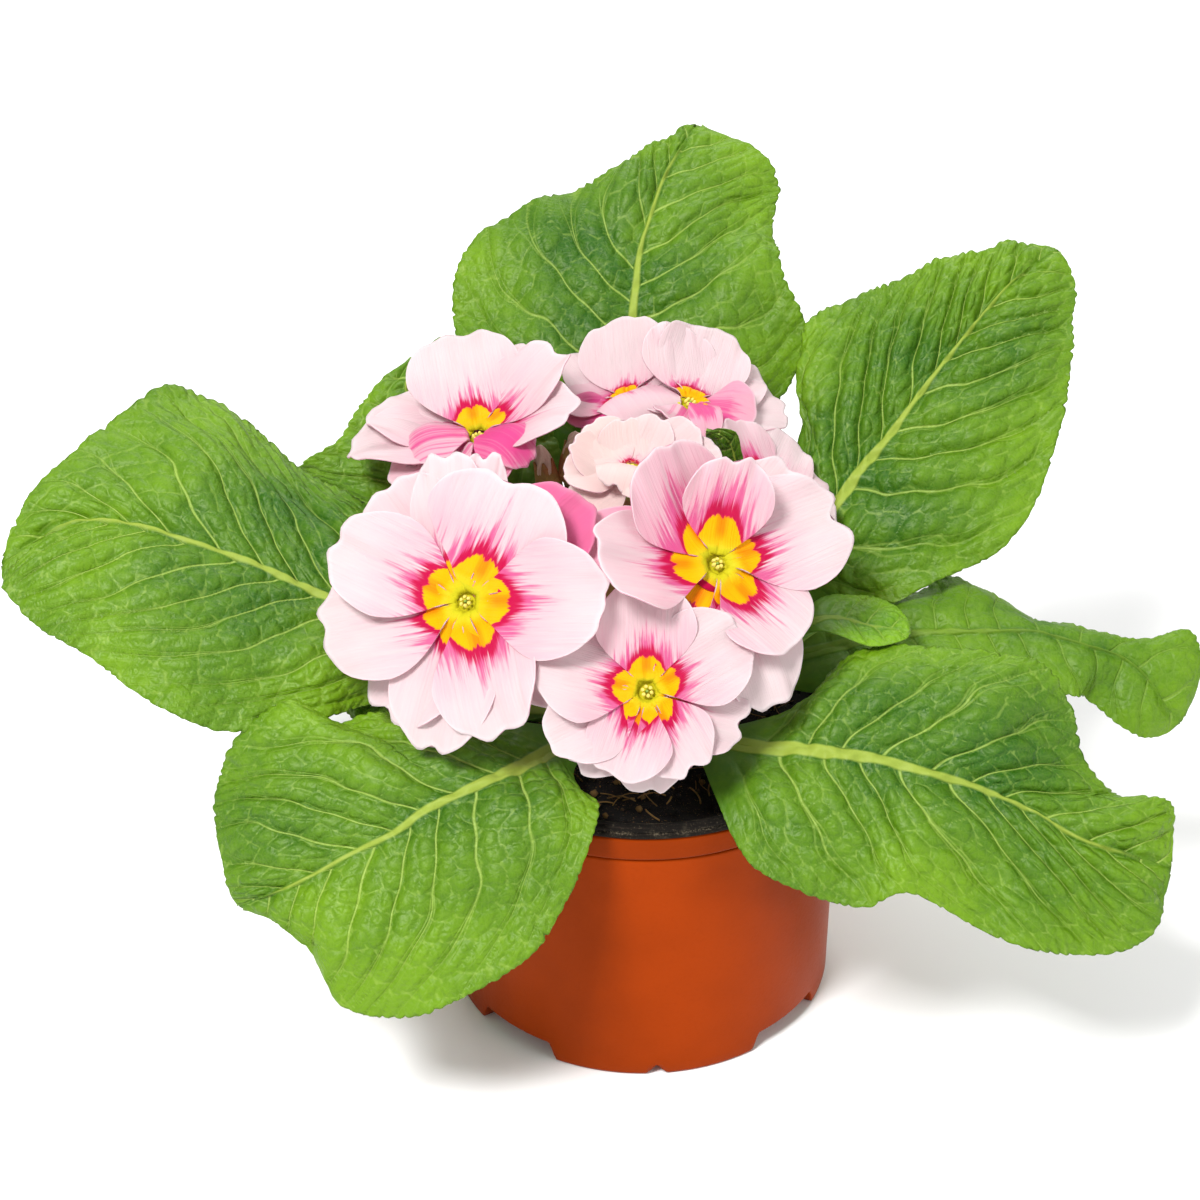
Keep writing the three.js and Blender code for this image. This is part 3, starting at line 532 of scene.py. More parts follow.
def catmull(points, t, after=None):
    """A uniform Catmull-Rom spline through the points, at parameters t from 0 to n - 1. It ends on
    the way to the point `after`, or straight on."""
    points = np.asarray(points, float)
    last = len(points) - 1
    if after is None:
        after = 2 * points[last] - points[last - 1]
    padded = np.concatenate([[2 * points[0] - points[1]], points, [after]])
    i = np.clip(t.astype(int), 0, last - 1)
    f = (t - i)[:, None]
    a, b, c, d = (padded[i + k] for k in range(4))
    return 0.5 * (2 * b + (c - a) * f + (2 * a - 5 * b + 4 * c - d) * f**2 + (3 * b - a - 3 * c + d) * f**3)


def bezier(a, b, c, d, t):
    """A cubic Bezier curve at parameters t."""
    t = t[:, None]
    return a * (1 - t) ** 3 + 3 * b * t * (1 - t) ** 2 + 3 * c * t**2 * (1 - t) + d * t**3


def run_length(path):
    """Distance along a path up to each of its points."""
    return np.concatenate([[0], np.cumsum(np.linalg.norm(np.diff(path, axis=0), axis=1))])


def waves(x, wavelengths, heights, rng):
    """A sum of sines with random phases."""
    pairs = zip(wavelengths, heights)
    return sum(height * np.sin(2 * pi * x / wave + rng.uniform(0, 2 * pi)) for wave, height in pairs)


def turned(radius, height, angle):
    """Points at these distances from the Z axis, heights and angles."""
    return np.stack(np.broadcast_arrays(radius * np.cos(angle), radius * np.sin(angle), height), -1)


def full_turn(sides):
    """As many angles as there are sides, evenly round a circle."""
    return np.linspace(0, 2 * pi, sides, endpoint=False)


def cell_gap(x, y, seeds):
    """Distance to the second nearest seed less the distance to the nearest: zero on the borders of
    the cells."""
    reach = np.hypot(x.ravel()[:, None] - seeds[:, 0], y.ravel()[:, None] - seeds[:, 1])
    nearest = np.partition(reach, 1, axis=1)[:, :2]
    return (nearest[:, 1] - nearest[:, 0]).reshape(x.shape)


# ------------------------------------------------------------------ meshes

class Shape:
    """Points in millimetres, faces by corner count and two layers of four painted values per
    point, gathered piece by piece."""

    def __init__(self):
        self.points, self.paint, self.lines, self.faces, self.count = [], [], [], [], 0

    def add(self, points, faces, paint=None, lines=None):
        """Adds points and faces, which count the points from the first of these."""
        points = np.asarray(points, float).reshape(-1, 3)
        empty = np.zeros((len(points), 4))
        self.points.append(points)
        self.paint.append(empty if paint is None else np.asarray(paint, float).reshape(-1, 4))
        self.lines.append(empty if lines is None else np.asarray(lines, float).reshape(-1, 4))
        self.faces += [np.asarray(f, np.int64) + self.count for f in faces if len(f)]
        self.count += len(points)

    def make(self, name, material, node, slot):
        """Makes the mesh object, which stands for the solid `node`."""
        mesh = bpy.data.meshes.new(name)
        points = np.concatenate(self.points) * MM
        corners = np.concatenate([f.ravel() for f in self.faces])
        counts = np.concatenate([np.full(len(f), f.shape[1]) for f in self.faces])
        mesh.vertices.add(len(points))
        mesh.vertices.foreach_set("co", points.astype(np.float32).ravel())
        mesh.loops.add(len(corners))
        mesh.loops.foreach_set("vertex_index", corners.astype(np.int32))
        mesh.polygons.add(len(counts))
        mesh.polygons.foreach_set("loop_start", (np.cumsum(counts) - counts).astype(np.int32))
        mesh.polygons.foreach_set("use_smooth", np.ones(len(counts), bool))
        mesh.update(calc_edges=True)
        if mesh.validate():
            raise RuntimeError(name + " holds faces that are not valid")
        for label, values in (("paint", self.paint), ("lines", self.lines)):
            layer = mesh.attributes.new(label, "FLOAT_COLOR", "POINT")
            layer.data.foreach_set("color", np.concatenate(values).astype(np.float32).ravel())
        mesh.materials.append(material)
        piece = bpy.data.objects.new(name, mesh)
        bpy.context.scene.collection.objects.link(piece)
        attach(piece, BODY)
        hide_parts(node)


def grid_quads(rows, columns, loop=False, flip=False, first=0):
    """Quads of a grid of points numbered row by row, whose last column joins the first where it
    loops."""
    i, j = np.meshgrid(np.arange(rows - 1), np.arange(columns if loop else columns - 1), indexing="ij")
    k = (j + 1) % columns
    here, above = i * columns, (i + 1) * columns
    quads = np.stack([here + j, here + k, above + k, above + j], -1).reshape(-1, 4) + first
    return quads[:, ::-1] if flip else quads


def closed_sheet(shape, top, depth, normal, above, below, lines=None):
    """Adds a thin closed sheet: the full grid above, every second point of it below, and a wall of
    five-cornered faces round the edge. Rows and columns are odd in number. `above` and `below`
    paint its two sides, and `lines` is the second layer of both."""
    rows, columns = top.shape[:2]
    under = (top - normal * depth[..., None])[::2, ::2]
    half_rows, half_columns = under.shape[:2]
    first = rows * columns
    upper = np.arange(first).reshape(rows, columns)
    lower = first + np.arange(half_rows * half_columns).reshape(half_rows, half_columns)
    walls = []
    for edge_above, edge_below, flip in (
        (upper[:, 0], lower[:, 0], False), (upper[:, -1], lower[:, -1], True),
        (upper[0], lower[0], True), (upper[-1], lower[-1], False),
    ):
        three_above = (edge_above[:-2:2], edge_above[1:-1:2], edge_above[2::2])
        wall = np.stack([*three_above, edge_below[1:], edge_below[:-1]], -1)
        walls.append(wall[:, ::-1] if flip else wall)
    faces = [grid_quads(rows, columns), grid_quads(half_rows, half_columns, flip=True, first=first), *walls]

    def both(one, other):
        return np.concatenate([one.reshape(-1, one.shape[-1]), other.reshape(-1, other.shape[-1])])

    shape.add(both(top, under), faces, both(above, below[::2, ::2]),
              None if lines is None else both(lines, lines[::2, ::2]))


def surface_normal(grid):
    """Upward normals of a grid whose rows run outwards and whose columns run left to right."""
    return unit(np.cross(np.gradient(grid, axis=1), np.gradient(grid, axis=0)))


def closed_rings(shape, rings, foot, head, paint=(0, 0, 0, 0), place=lambda points: points, flip=False):
    """Adds a closed body: rings of points, one to a row, and a fan of triangles at each end, to the
    points foot and head. Seen from outside, the rings run to the right where the body rises, and
    `flip` is for one that descends. It is painted all over or point by point."""
    rows, sides = rings.shape[:2]
    points = np.concatenate([rings.reshape(-1, 3), [foot, head]])
    around = np.arange(sides)
    after = (around + 1) % sides
    ends = np.full((2, sides), [[rows * sides], [rows * sides + 1]])
    last = (rows - 1) * sides
    fans = [np.stack([ends[0], after, around], -1), np.stack([ends[1], last + around, last + after], -1)]
    if flip:
        fans = [fan[:, [0, 2, 1]] for fan in fans]
    faces = [grid_quads(rows, sides, loop=True, flip=flip), *fans]
    shape.add(place(points), faces, np.broadcast_to(paint, (len(points), 4)))


def revolve(shape, profile, sides, place=lambda points: points, paint=(0, 0, 0, 0)):
    """Adds a closed body turned about +Z. The profile runs from the axis at its foot, outwards and
    up, and back to the axis, as (radius, height). It is painted all over, or row by row."""
    profile = np.asarray(profile, float)
    paint = np.broadcast_to(np.asarray(paint, float), (len(profile), 4))
    body = profile[1:-1]
    rings = turned(body[:, :1], body[:, 1:], full_turn(sides))
    paint = np.concatenate([np.repeat(paint[1:-1], sides, 0), paint[:1], paint[-1:]])
    closed_rings(shape, rings, [0, 0, profile[0, 1]], [0, 0, profile[-1, 1]], paint, place)


def rod(shape, path, radius, sides, paint=(0, 0, 0, 0)):
    """Adds a closed rod along a path, whose radius may change on the way."""
    path = np.asarray(path, float)
    ahead = unit(np.gradient(path, axis=0))
    side = unit(np.cross(ahead, ASKEW))
    other = np.cross(ahead, side)
    angle = full_turn(sides)
    radius = np.broadcast_to(radius, len(path))[:, None, None]
    turn = np.cos(angle)[None, :, None] * side[:, None] + np.sin(angle)[None, :, None] * other[:, None]
    closed_rings(shape, path[:, None] + radius * turn, path[0], path[-1], paint)


# ------------------------------------------------------------------ materials

class Socket:
    """A node's output, on which Python's operators add Math nodes."""

    def __init__(self, painter, output):
        self.painter, self.output = painter, output

    def math(self, operation, *values):
        return self.painter.node("ShaderNodeMath", {"operation": operation}, dict(enumerate(values)))

    def __add__(self, other):
        return self.math("ADD", self, other)

    def __radd__(self, other):
        return self.math("ADD", other, self)

    def __sub__(self, other):
        return self.math("SUBTRACT", self, other)

    def __rsub__(self, other):
        return self.math("SUBTRACT", other, self)

    def __mul__(self, other):
        return self.math("MULTIPLY", self, other)

    def __rmul__(self, other):
        return self.math("MULTIPLY", other, self)

    def absolute(self):
        return self.math("ABSOLUTE", self)

    def fraction(self):
        return self.math("FRACT", self)

    def floor(self):
        return self.math("FLOOR", self)

    def highest(self, other):
        return self.math("MAXIMUM", self, other)

    def step(self, low, high):
        """0 at low, 1 at high, smooth between them."""
        settings = {"interpolation_type": "SMOOTHSTEP"}
        return self.painter.node("ShaderNodeMapRange", settings, {0: self, 1: low, 2: high})

    def clamp(self):
        return self.painter.node("ShaderNodeClamp", {}, {0: self})


class Painter:
    """One material: its nodes, and the ways that they are joined."""

    def __init__(self, name):
        self.material = bpy.data.materials.new(name)
        self.material.use_nodes = True
        self.tree = self.material.node_tree
        self.tree.nodes.clear()

    def node(self, kind, settings, inputs, output=0):
        """Adds a node: its settings first, then the values or links of its sockets."""
        made = self.tree.nodes.new(kind)
        for key, value in settings.items():
            setattr(made, key, value)
        for key, value in inputs.items():
            if isinstance(value, Socket):
                self.tree.links.new(value.output, made.inputs[key])
            else:
                made.inputs[key].default_value = value
        return Socket(self, made.outputs[output]) if made.outputs else None

    def paint(self, layer="paint"):
        """The four painted values of one of the mesh's layers."""
        settings = {"attribute_type": "GEOMETRY", "attribute_name": layer}
        attribute = self.node("ShaderNodeAttribute", settings, {})
        owner = attribute.output.node
        split = self.node("ShaderNodeSeparateColor", {}, {0: attribute}).output.node
        return [Socket(self, split.outputs[i]) for i in range(3)] + [Socket(self, owner.outputs["Alpha"])]

    def place(self, scale=1.0):
        """Object coordinates, in millimetres times scale."""
        here = self.node("ShaderNodeTexCoord", {}, {}, "Object")
        factor = scale / MM
        return self.node("ShaderNodeVectorMath", {"operation": "MULTIPLY"}, {0: here, 1: (factor,) * 3})

    def noise(self, vector, scale, detail=2.0, rough=0.5):
        inputs = {"Vector": vector, "Scale": scale, "Detail": detail, "Roughness": rough}
        return self.node("ShaderNodeTexNoise", {}, inputs)

    def cell_edge(self, vector, scale):
        """Distance to the nearest border between the cells of a Voronoi pattern."""
        settings = {"feature": "DISTANCE_TO_EDGE"}
        return self.node("ShaderNodeTexVoronoi", settings, {"Vector": vector, "Scale": scale})

    def chance(self, value):
        """A random number from 0 to 1 for each whole value."""
        return self.node("ShaderNodeTexWhiteNoise", {"noise_dimensions": "1D"}, {"W": value})

    def vector(self, x, y, z):
        return self.node("ShaderNodeCombineXYZ", {}, {0: x, 1: y, 2: z})

    def mix(self, factor, first, second):
        """The first colour where factor is 0 and the second where it is 1."""
        ends = {6: self.rgba(first), 7: self.rgba(second)}
        return self.node("ShaderNodeMix", {"data_type": "RGBA"}, {0: factor, **ends}, 2)

    @staticmethod
    def rgba(value):
        return value if isinstance(value, Socket) else (*value, 1.0)

    def bump(self, height, distance, strength=1.0):
        """Normals of a relief whose height of 1 is this distance in millimetres."""
        inputs = {"Strength": strength, "Distance": distance * MM, "Height": height}
        return self.node("ShaderNodeBump", {}, inputs)

    def finish(self, sockets, through=None):
        """The surface: a Principled shader with these sockets, and a share of light let through."""
        surface = self.node("ShaderNodeBsdfPrincipled", {}, sockets)
        if through:
            share, tint = through
            behind = self.node("ShaderNodeBsdfTranslucent", {}, {"Color": tint})
            surface = self.node("ShaderNodeMixShader", {}, {0: share, 1: surface, 2: behind})
        self.node("ShaderNodeOutputMaterial", {}, {0: surface})
        return self.material


def shade(value, factor):
    """A colour made lighter or darker."""
    return [channel * factor for channel in value]


def leaf_material(name, dark=1.0, clarity=1.0):
    """Leaf skin: a green that varies at random and is brighter on the edges, with painted shade in the
    hollows and beside the midrib, a painted highlight on the cushions, and pale veins.

    `paint` holds blade, half width of the midrib in units of RIB_UNIT, edge, and the distance
    inside a cell between fine veins, less three on the underside. `lines` holds the vein count
    along the leaf, the distance from the midrib in millimetres, that distance as a share of the
    half width, and the pitch of the veins. A lateral vein runs where the count is whole and forks
    once on either side. `dark` scales the greens, and `clarity` the strength of the veins."""
    tone = colours()
    p = Painter(name)
    blade, rib_half, edge, cell = p.paint()
    rib_half = rib_half * RIB_UNIT
    count, away, share, pitch = p.paint("lines")
    under = (0 - cell).step(0.5, 1.5)
    inside = cell + under * 3.0
    here = p.place()
    cloud = p.noise(here, 0.030, 3.0)
    mottle = p.noise(here, 0.30, 3.0, 0.5)
    fine = p.noise(here, 2.6, 2.0, 0.6)

    apart = ((count + 0.5).fraction() - 0.5).absolute()
    chance = p.chance((count + 0.5).floor())
    begins = 0.22 + chance * 0.3
    fork = (apart - share.step(begins, 1.25) * (0.36 + chance * 0.1)).absolute() * pitch
    half = (0.32 - share * 0.18) * (0.35 + pitch * 0.07)
    lateral = 1 - (apart * pitch).step(half * 0.4, half * 1.7)
    branch = (1 - fork.step(half * 0.25, half * 1.3)) * share.step(begins, begins + 0.06)
    rib = (1 - (away - rib_half).step(-0.30, 0.30)) * rib_half.step(0.02, 0.30)
    # painted shade in the valley beside the midrib, taken off the brightness below
    rib_valley_shade = 1 - (away - rib_half).step(0.0, 1.6)
    small = p.cell_edge(here, 0.60)
    clear = blade * (1 - rib)
    line = lateral.highest(branch * 0.55) * clear * (1 - share.step(0.45, 1.0) * 0.7)
    net_line = (1 - inside.step(0.01, 0.12)) * clear
    small_line = (1 - small.step(0.02, 0.11)) * clear

    # The cushions inside the cells are lightened as a painted highlight, so the vein borders between them
    # keep a painted shade in the hollows.
    bright = 0.36 + (cloud - 0.5) * 1.9 + edge * 0.34 + inside.step(0.0, 0.9) * 0.12
    bright = bright + (mottle - 0.5) * 0.60 + (small.step(0.0, 0.35) - 0.6) * 0.10
    bright = (bright - rib_valley_shade * 0.18 + (fine - 0.5) * 0.40).clamp()
    skin = p.mix(bright, shade(tone.leaf_deep, dark), shade(tone.leaf_bright, dark))
    skin = p.mix(under * 0.75, skin, tone.leaf_under)
    skin = p.mix((small_line * 0.06 + net_line * (0.26 * clarity)).clamp(), skin, tone.vein)
    skin = p.mix((line * (0.66 - share * 0.38) * clarity).clamp(), skin, tone.vein)
    skin = p.mix((rib * (0.88 * clarity)).clamp(), skin, tone.rib)
    skin = p.mix((1 - blade) * 0.45, skin, tone.leaf_deep)
    height = inside.step(0.0, 0.50) * (0.45 * clarity) + small.step(0.0, 0.40) * 0.22 - line * 0.35
    height = height * clear + mottle * 0.35 + fine * 0.10 + rib * 0.4
    rough = 0.48 + (mottle - 0.5) * 0.16 + rib * 0.08 + under * 0.15
    return p.finish({
        "Base Color": skin, "Roughness": rough, "Normal": p.bump(height, 0.45),
        "Specular IOR Level": 0.36, "Specular Tint": LEAF_SHEEN,
    }, (0.10, LEAF_GLOW))


def petal_material(name):
    """Petals: a yellow star with orange streaks, a crimson ring that runs out in rose streaks, and
    a pale limb with a thin white rim.

    `paint` holds the place across the petal, the distance from the mouth as a share of the usual
    length, the petal's tint and its rim; two more on the distance mark the underside. The star
    ends where the distance passes `lobe`, and the streaks where it passes `limit`."""
    tone = colours()
    p = Painter(name)
    across, out, tint, rim = p.paint()
    side = across - 0.5
    apart = side.absolute()
    under = out.step(1.5, 1.7)
    streak = p.noise(p.vector(side * 24.0, out * 1.5, tint * 37.0), 1.0, 4.0, 0.7)
    comb = p.noise(p.vector(side * 75.0, out * 2.0, tint * 51.0), 1.0, 3.0, 0.6)
    blotch = p.noise(p.place(), 0.09, 2.0)
    lobe = 0.358 - apart * apart * apart * 34.0 - (1 - apart.step(0.0, 0.030)) * 0.030
    lobe = lobe + (comb - 0.5) * 0.075 + (streak - 0.5) * 0.05
    star = 1 - (out - lobe).step(-0.008, 0.012)
    ring = 1 - (out - lobe - (streak - 0.5) * 0.20 - (comb - 0.5) * 0.10).step(0.062, 0.150)
    # The flush is partly the petal's own pink and partly painted shade on lifted and near petals.
    flush_and_shade = tint.highest(0.0)
    limit = 0.64 - apart * 0.95 + (streak - 0.5) * 0.85 + (comb - 0.5) * 0.60 + flush_and_shade.clamp() * 0.30
    rose = 1 - (out - limit).step(-0.20, 0.02)
    wash = (1 - out.step(0.40, 0.90)) * 0.18 + flush_and_shade.clamp() * 0.85 + (blotch - 0.5) * 0.30
    wash = wash + (comb - 0.5) * 0.34 + (streak - 0.42) * (1 - out.step(0.55, 1.10)) * 0.75
    limb = p.mix((0 - tint).clamp(), tone.petal_pale, tone.petal_peach)
    limb = p.mix(wash.clamp(), limb, tone.petal_pink)
    limb = p.mix(rim * 0.75, limb, tone.petal_rim)
    face = p.mix((rose * 0.84).clamp(), limb, tone.petal_rose)
    face = p.mix(ring, face, tone.petal_crimson)
    middle = (1 - apart.step(0.010, 0.075)) * out.step(0.15, 0.26)
    yellow = p.mix((middle * 0.95 + (comb - 0.5) * 0.9).clamp(), tone.eye, tone.eye_streak)
    yellow = p.mix(1 - out.step(0.10, 0.20), yellow, tone.throat)
    face = p.mix(star, face, yellow)
    beneath = out - 2
    pink = (1 - beneath.step(0.3, 1.0)) * 0.45 + 0.08 + flush_and_shade * 0.4
    back = p.mix(pink.clamp(), limb, tone.petal_pink)
    red = (1 - beneath.step(0.15, 0.75)) * (0.15 + flush_and_shade * 0.7)
    back = p.mix(red.clamp(), back, tone.petal_rose)
    deepest = (flush_and_shade - 0.75).clamp() * 2.2
    skin = p.mix(deepest.clamp() * 0.8, p.mix(under, face, back), tone.petal_rose)
    ribs = p.noise(p.vector(side * 85.0, out * 1.2, tint * 11.0), 1.0, 3.0, 0.55)
    return p.finish({
        "Base Color": skin, "Roughness": 0.50, "Normal": p.bump(ribs, 0.22, 0.9),
        "Specular IOR Level": 0.11, "Specular Tint": PETAL_SHEEN,
    }, ((1 - star) * (0.36 - ring * 0.22) + 0.01, PETAL_GLOW))


def plain_plant_material(name, base, second, rough=0.6):
    """Stalk and calyx skin: two tones in streaks, finely hairy. `paint` holds the share of petal."""
    tone = colours()
    p = Painter(name)
    petal = p.paint()[0]
    here = p.place()
    cloud = p.noise(here, 0.16, 3.0)
    hair = p.noise(here, 2.4, 2.0, 0.7)
    skin = p.mix(cloud.step(0.40, 0.62), base, second)
    skin = p.mix((hair - 0.5).clamp() * 0.5, skin, HAIR)
    skin = p.mix(petal, skin, tone.petal_peach)
    return p.finish({"Base Color": skin, "Roughness": rough, "Normal": p.bump(hair, 0.25)})


def anther_material(name):
    """Pollen on the anthers, and the greener stigma. `paint` holds the share of stigma."""
    p = Painter(name)
    grain = p.noise(p.place(), 2.2, 3.0)
    stigma = p.paint()[0]
    skin = p.mix(stigma, p.mix(grain, *POLLEN), STIGMA)
    return p.finish({"Base Color": skin, "Roughness": 0.8, "Normal": p.bump(grain, 0.15)})


def pot_material(name):
    """Two-layer pot plastic: orange outside, black on the rim and inside, with dust on the rim.
    `paint` holds the black layer, the collar, which is darkened as painted shadow under the rim, and the
    grooves of the rim."""
    tone = colours()
    p = Painter(name)
    black, collar, groove = p.paint()[:3]
    here = p.place()
    cloud = p.noise(here, 0.03, 3.0)
    grain = p.noise(here, 1.1, 3.0, 0.6)
    fleck = p.noise(here, 2.4, 3.0, 0.7)
    smear = p.noise(here, 0.22, 4.0, 0.6)
    orange = p.mix(cloud.step(0.3, 0.7), shade(tone.pot, 0.86), shade(tone.pot, 1.12))
    orange = p.mix((grain - 0.5).clamp() * 0.5, orange, shade(tone.pot, 0.6))
    # painted shadow of the rim, darkening the collar
    orange = p.mix(collar * 0.30, orange, shade(tone.pot, 0.2))
    dust = (fleck.step(0.58, 0.72) * 0.6 + smear.step(0.56, 0.74) * 0.30) * black
    dust = dust + fleck.step(0.46, 0.58) * smear.step(0.40, 0.60) * groove * 1.1
    dark = p.mix(dust.clamp() * 0.50, tone.pot_black, DUST)
    skin = p.mix(black, orange, dark)
    rough = 0.34 + (grain - 0.5) * 0.16 + black * 0.14
    return p.finish({
        "Base Color": skin, "Roughness": rough, "Normal": p.bump(grain, 0.05),
        "Specular IOR Level": 0.055, "Specular Tint": POT_SHEEN,
    })


def peat_material(name):
    """Moist peat: near black, with brown crumbs and pale fibres. `paint` holds the share of fibre."""
    tone = colours()
    p = Painter(name)
    fibre = p.paint()[0]
    here = p.place()
    crumb = p.noise(here, 0.9, 5.0, 0.7)
    fleck = p.noise(here, 2.3, 2.0, 0.6)
    skin = p.mix(crumb.step(0.5, 0.75), tone.peat, shade(tone.peat, 3.5))
    skin = p.mix(fleck.step(0.64, 0.71) * 0.8, skin, tone.fibre)
    skin = p.mix(fibre, skin, tone.fibre)
    return p.finish({
        "Base Color": skin, "Roughness": 0.9, "Normal": p.bump(crumb, 1.2), "Specular IOR Level": 0.25,
    })


# ------------------------------------------------------------------ leaves

def leaf_lines(leaf):
    """The three control lines of a leaf, from the crown to the tip: midrib, left and right edge. At
    the tip the edges are drawn in to a small share of the last row."""
    start = turned(PETIOLE_START, PETIOLE_LEVEL, radians(leaf["slot"]))
    middle = [start] + [np.array(p, float) for p in leaf["stalk"]]
    rows = []
    for here, beyond in zip(middle, middle[1:] + [np.array(leaf["blade"][0][0], float)]):
        ahead = beyond - here
        left = unit(np.array([-ahead[1], ahead[0], 0.0])) * leaf["width"]
        rows.append([here, here + left, here - left])
    rows += [[np.array(p, float) for p in row] for row in leaf["blade"]]
    tip = np.array(leaf["tip"], float)
    rows.append([tip] + [tip + TIP_SHARE * (p - tip) for p in rows[-1][1:]])
    return np.array(rows).transpose(1, 0, 2)


def cell_seeds(phase, out, pitch, stretch):
    """Seeds of the cells between veins: two rows of them from each lateral vein to the next, as
    (distance from the first lateral vein, distance along it), each a little out of line."""
    cells = np.random.default_rng(5)
    step = CELL_SPACING * pitch
    across = np.arange(out.min() - step, out.max() + step, step)
    seeds = []
    for count in np.arange(np.floor(phase.min()), phase.max() + 1):
        for place in (0.26, 0.74):
            jitter = cells.uniform(-0.3, 0.3, (len(across), 2)) * step
            row = (count + place) * pitch / stretch
            seeds.append(np.stack([row + jitter[:, 0], across + jitter[:, 1]], -1))
    return np.concatenate(seeds)


def vein_gaps(phase, away, v, pitch, leans):
    """How far inside its cell between fine veins each point is, as a share of a usual cell."""
    gap = np.zeros_like(phase)
    for side, lean in zip((v[0] < 0, v[0] >= 0), leans):
        slant = 0.95 * lean
        stretch = np.hypot(1, slant)
        off = phase[:, side] * pitch / stretch
        out = away[:, side] * stretch + slant * off
        gap[:, side] = cell_gap(off, out, cell_seeds(phase, out, pitch, stretch))
    return gap / (0.42 * pitch)


def edge_teeth(travel, relief, rng):
    """Round teeth along an edge, unequal in spacing and size."""
    wander = travel + waves(travel, (17, 11), (0.7, 0.5), rng)
    tooth = np.abs(np.sin(pi * wander / (2.3 * max(relief, 0.6)))) ** 0.7 - 0.55
    return tooth * (1 + waves(travel, (13, 7), (0.3, 0.3), rng))


def leaf_base(leaf, rows, v):
    """The smooth surface of a leaf, which runs from the midrib straight out to each edge, with each
    half cushioned by a sine; v is -1 at the left edge and 1 at the right. Gives its points, the
    vectors from the midrib to the edges, the three lines, and how many control points each row is
    past the first."""
    lines = leaf_lines(leaf)
    beyond = (None, lines[2][-2], lines[1][-2])
    fine = np.linspace(0, lines.shape[1] - 1, 600)
    mean_line = np.mean([catmull(line, fine, after) for line, after in zip(lines, beyond)], axis=0)
    travelled = run_length(mean_line)
    t = np.interp(np.linspace(0, travelled[-1], rows), travelled, fine)
    middle, left, right = (catmull(line, t, after) for line, after in zip(lines, beyond))
    reach = np.where((v < 0)[..., None], left[:, None], right[:, None]) - middle[:, None]
    base = middle[:, None] + reach * np.abs(v)[..., None]
    swell = 0.07 * np.linalg.norm(reach, axis=2) * np.sin(pi * np.abs(v))
    return base + surface_normal(base) * swell[..., None], reach, (middle, left, right), t


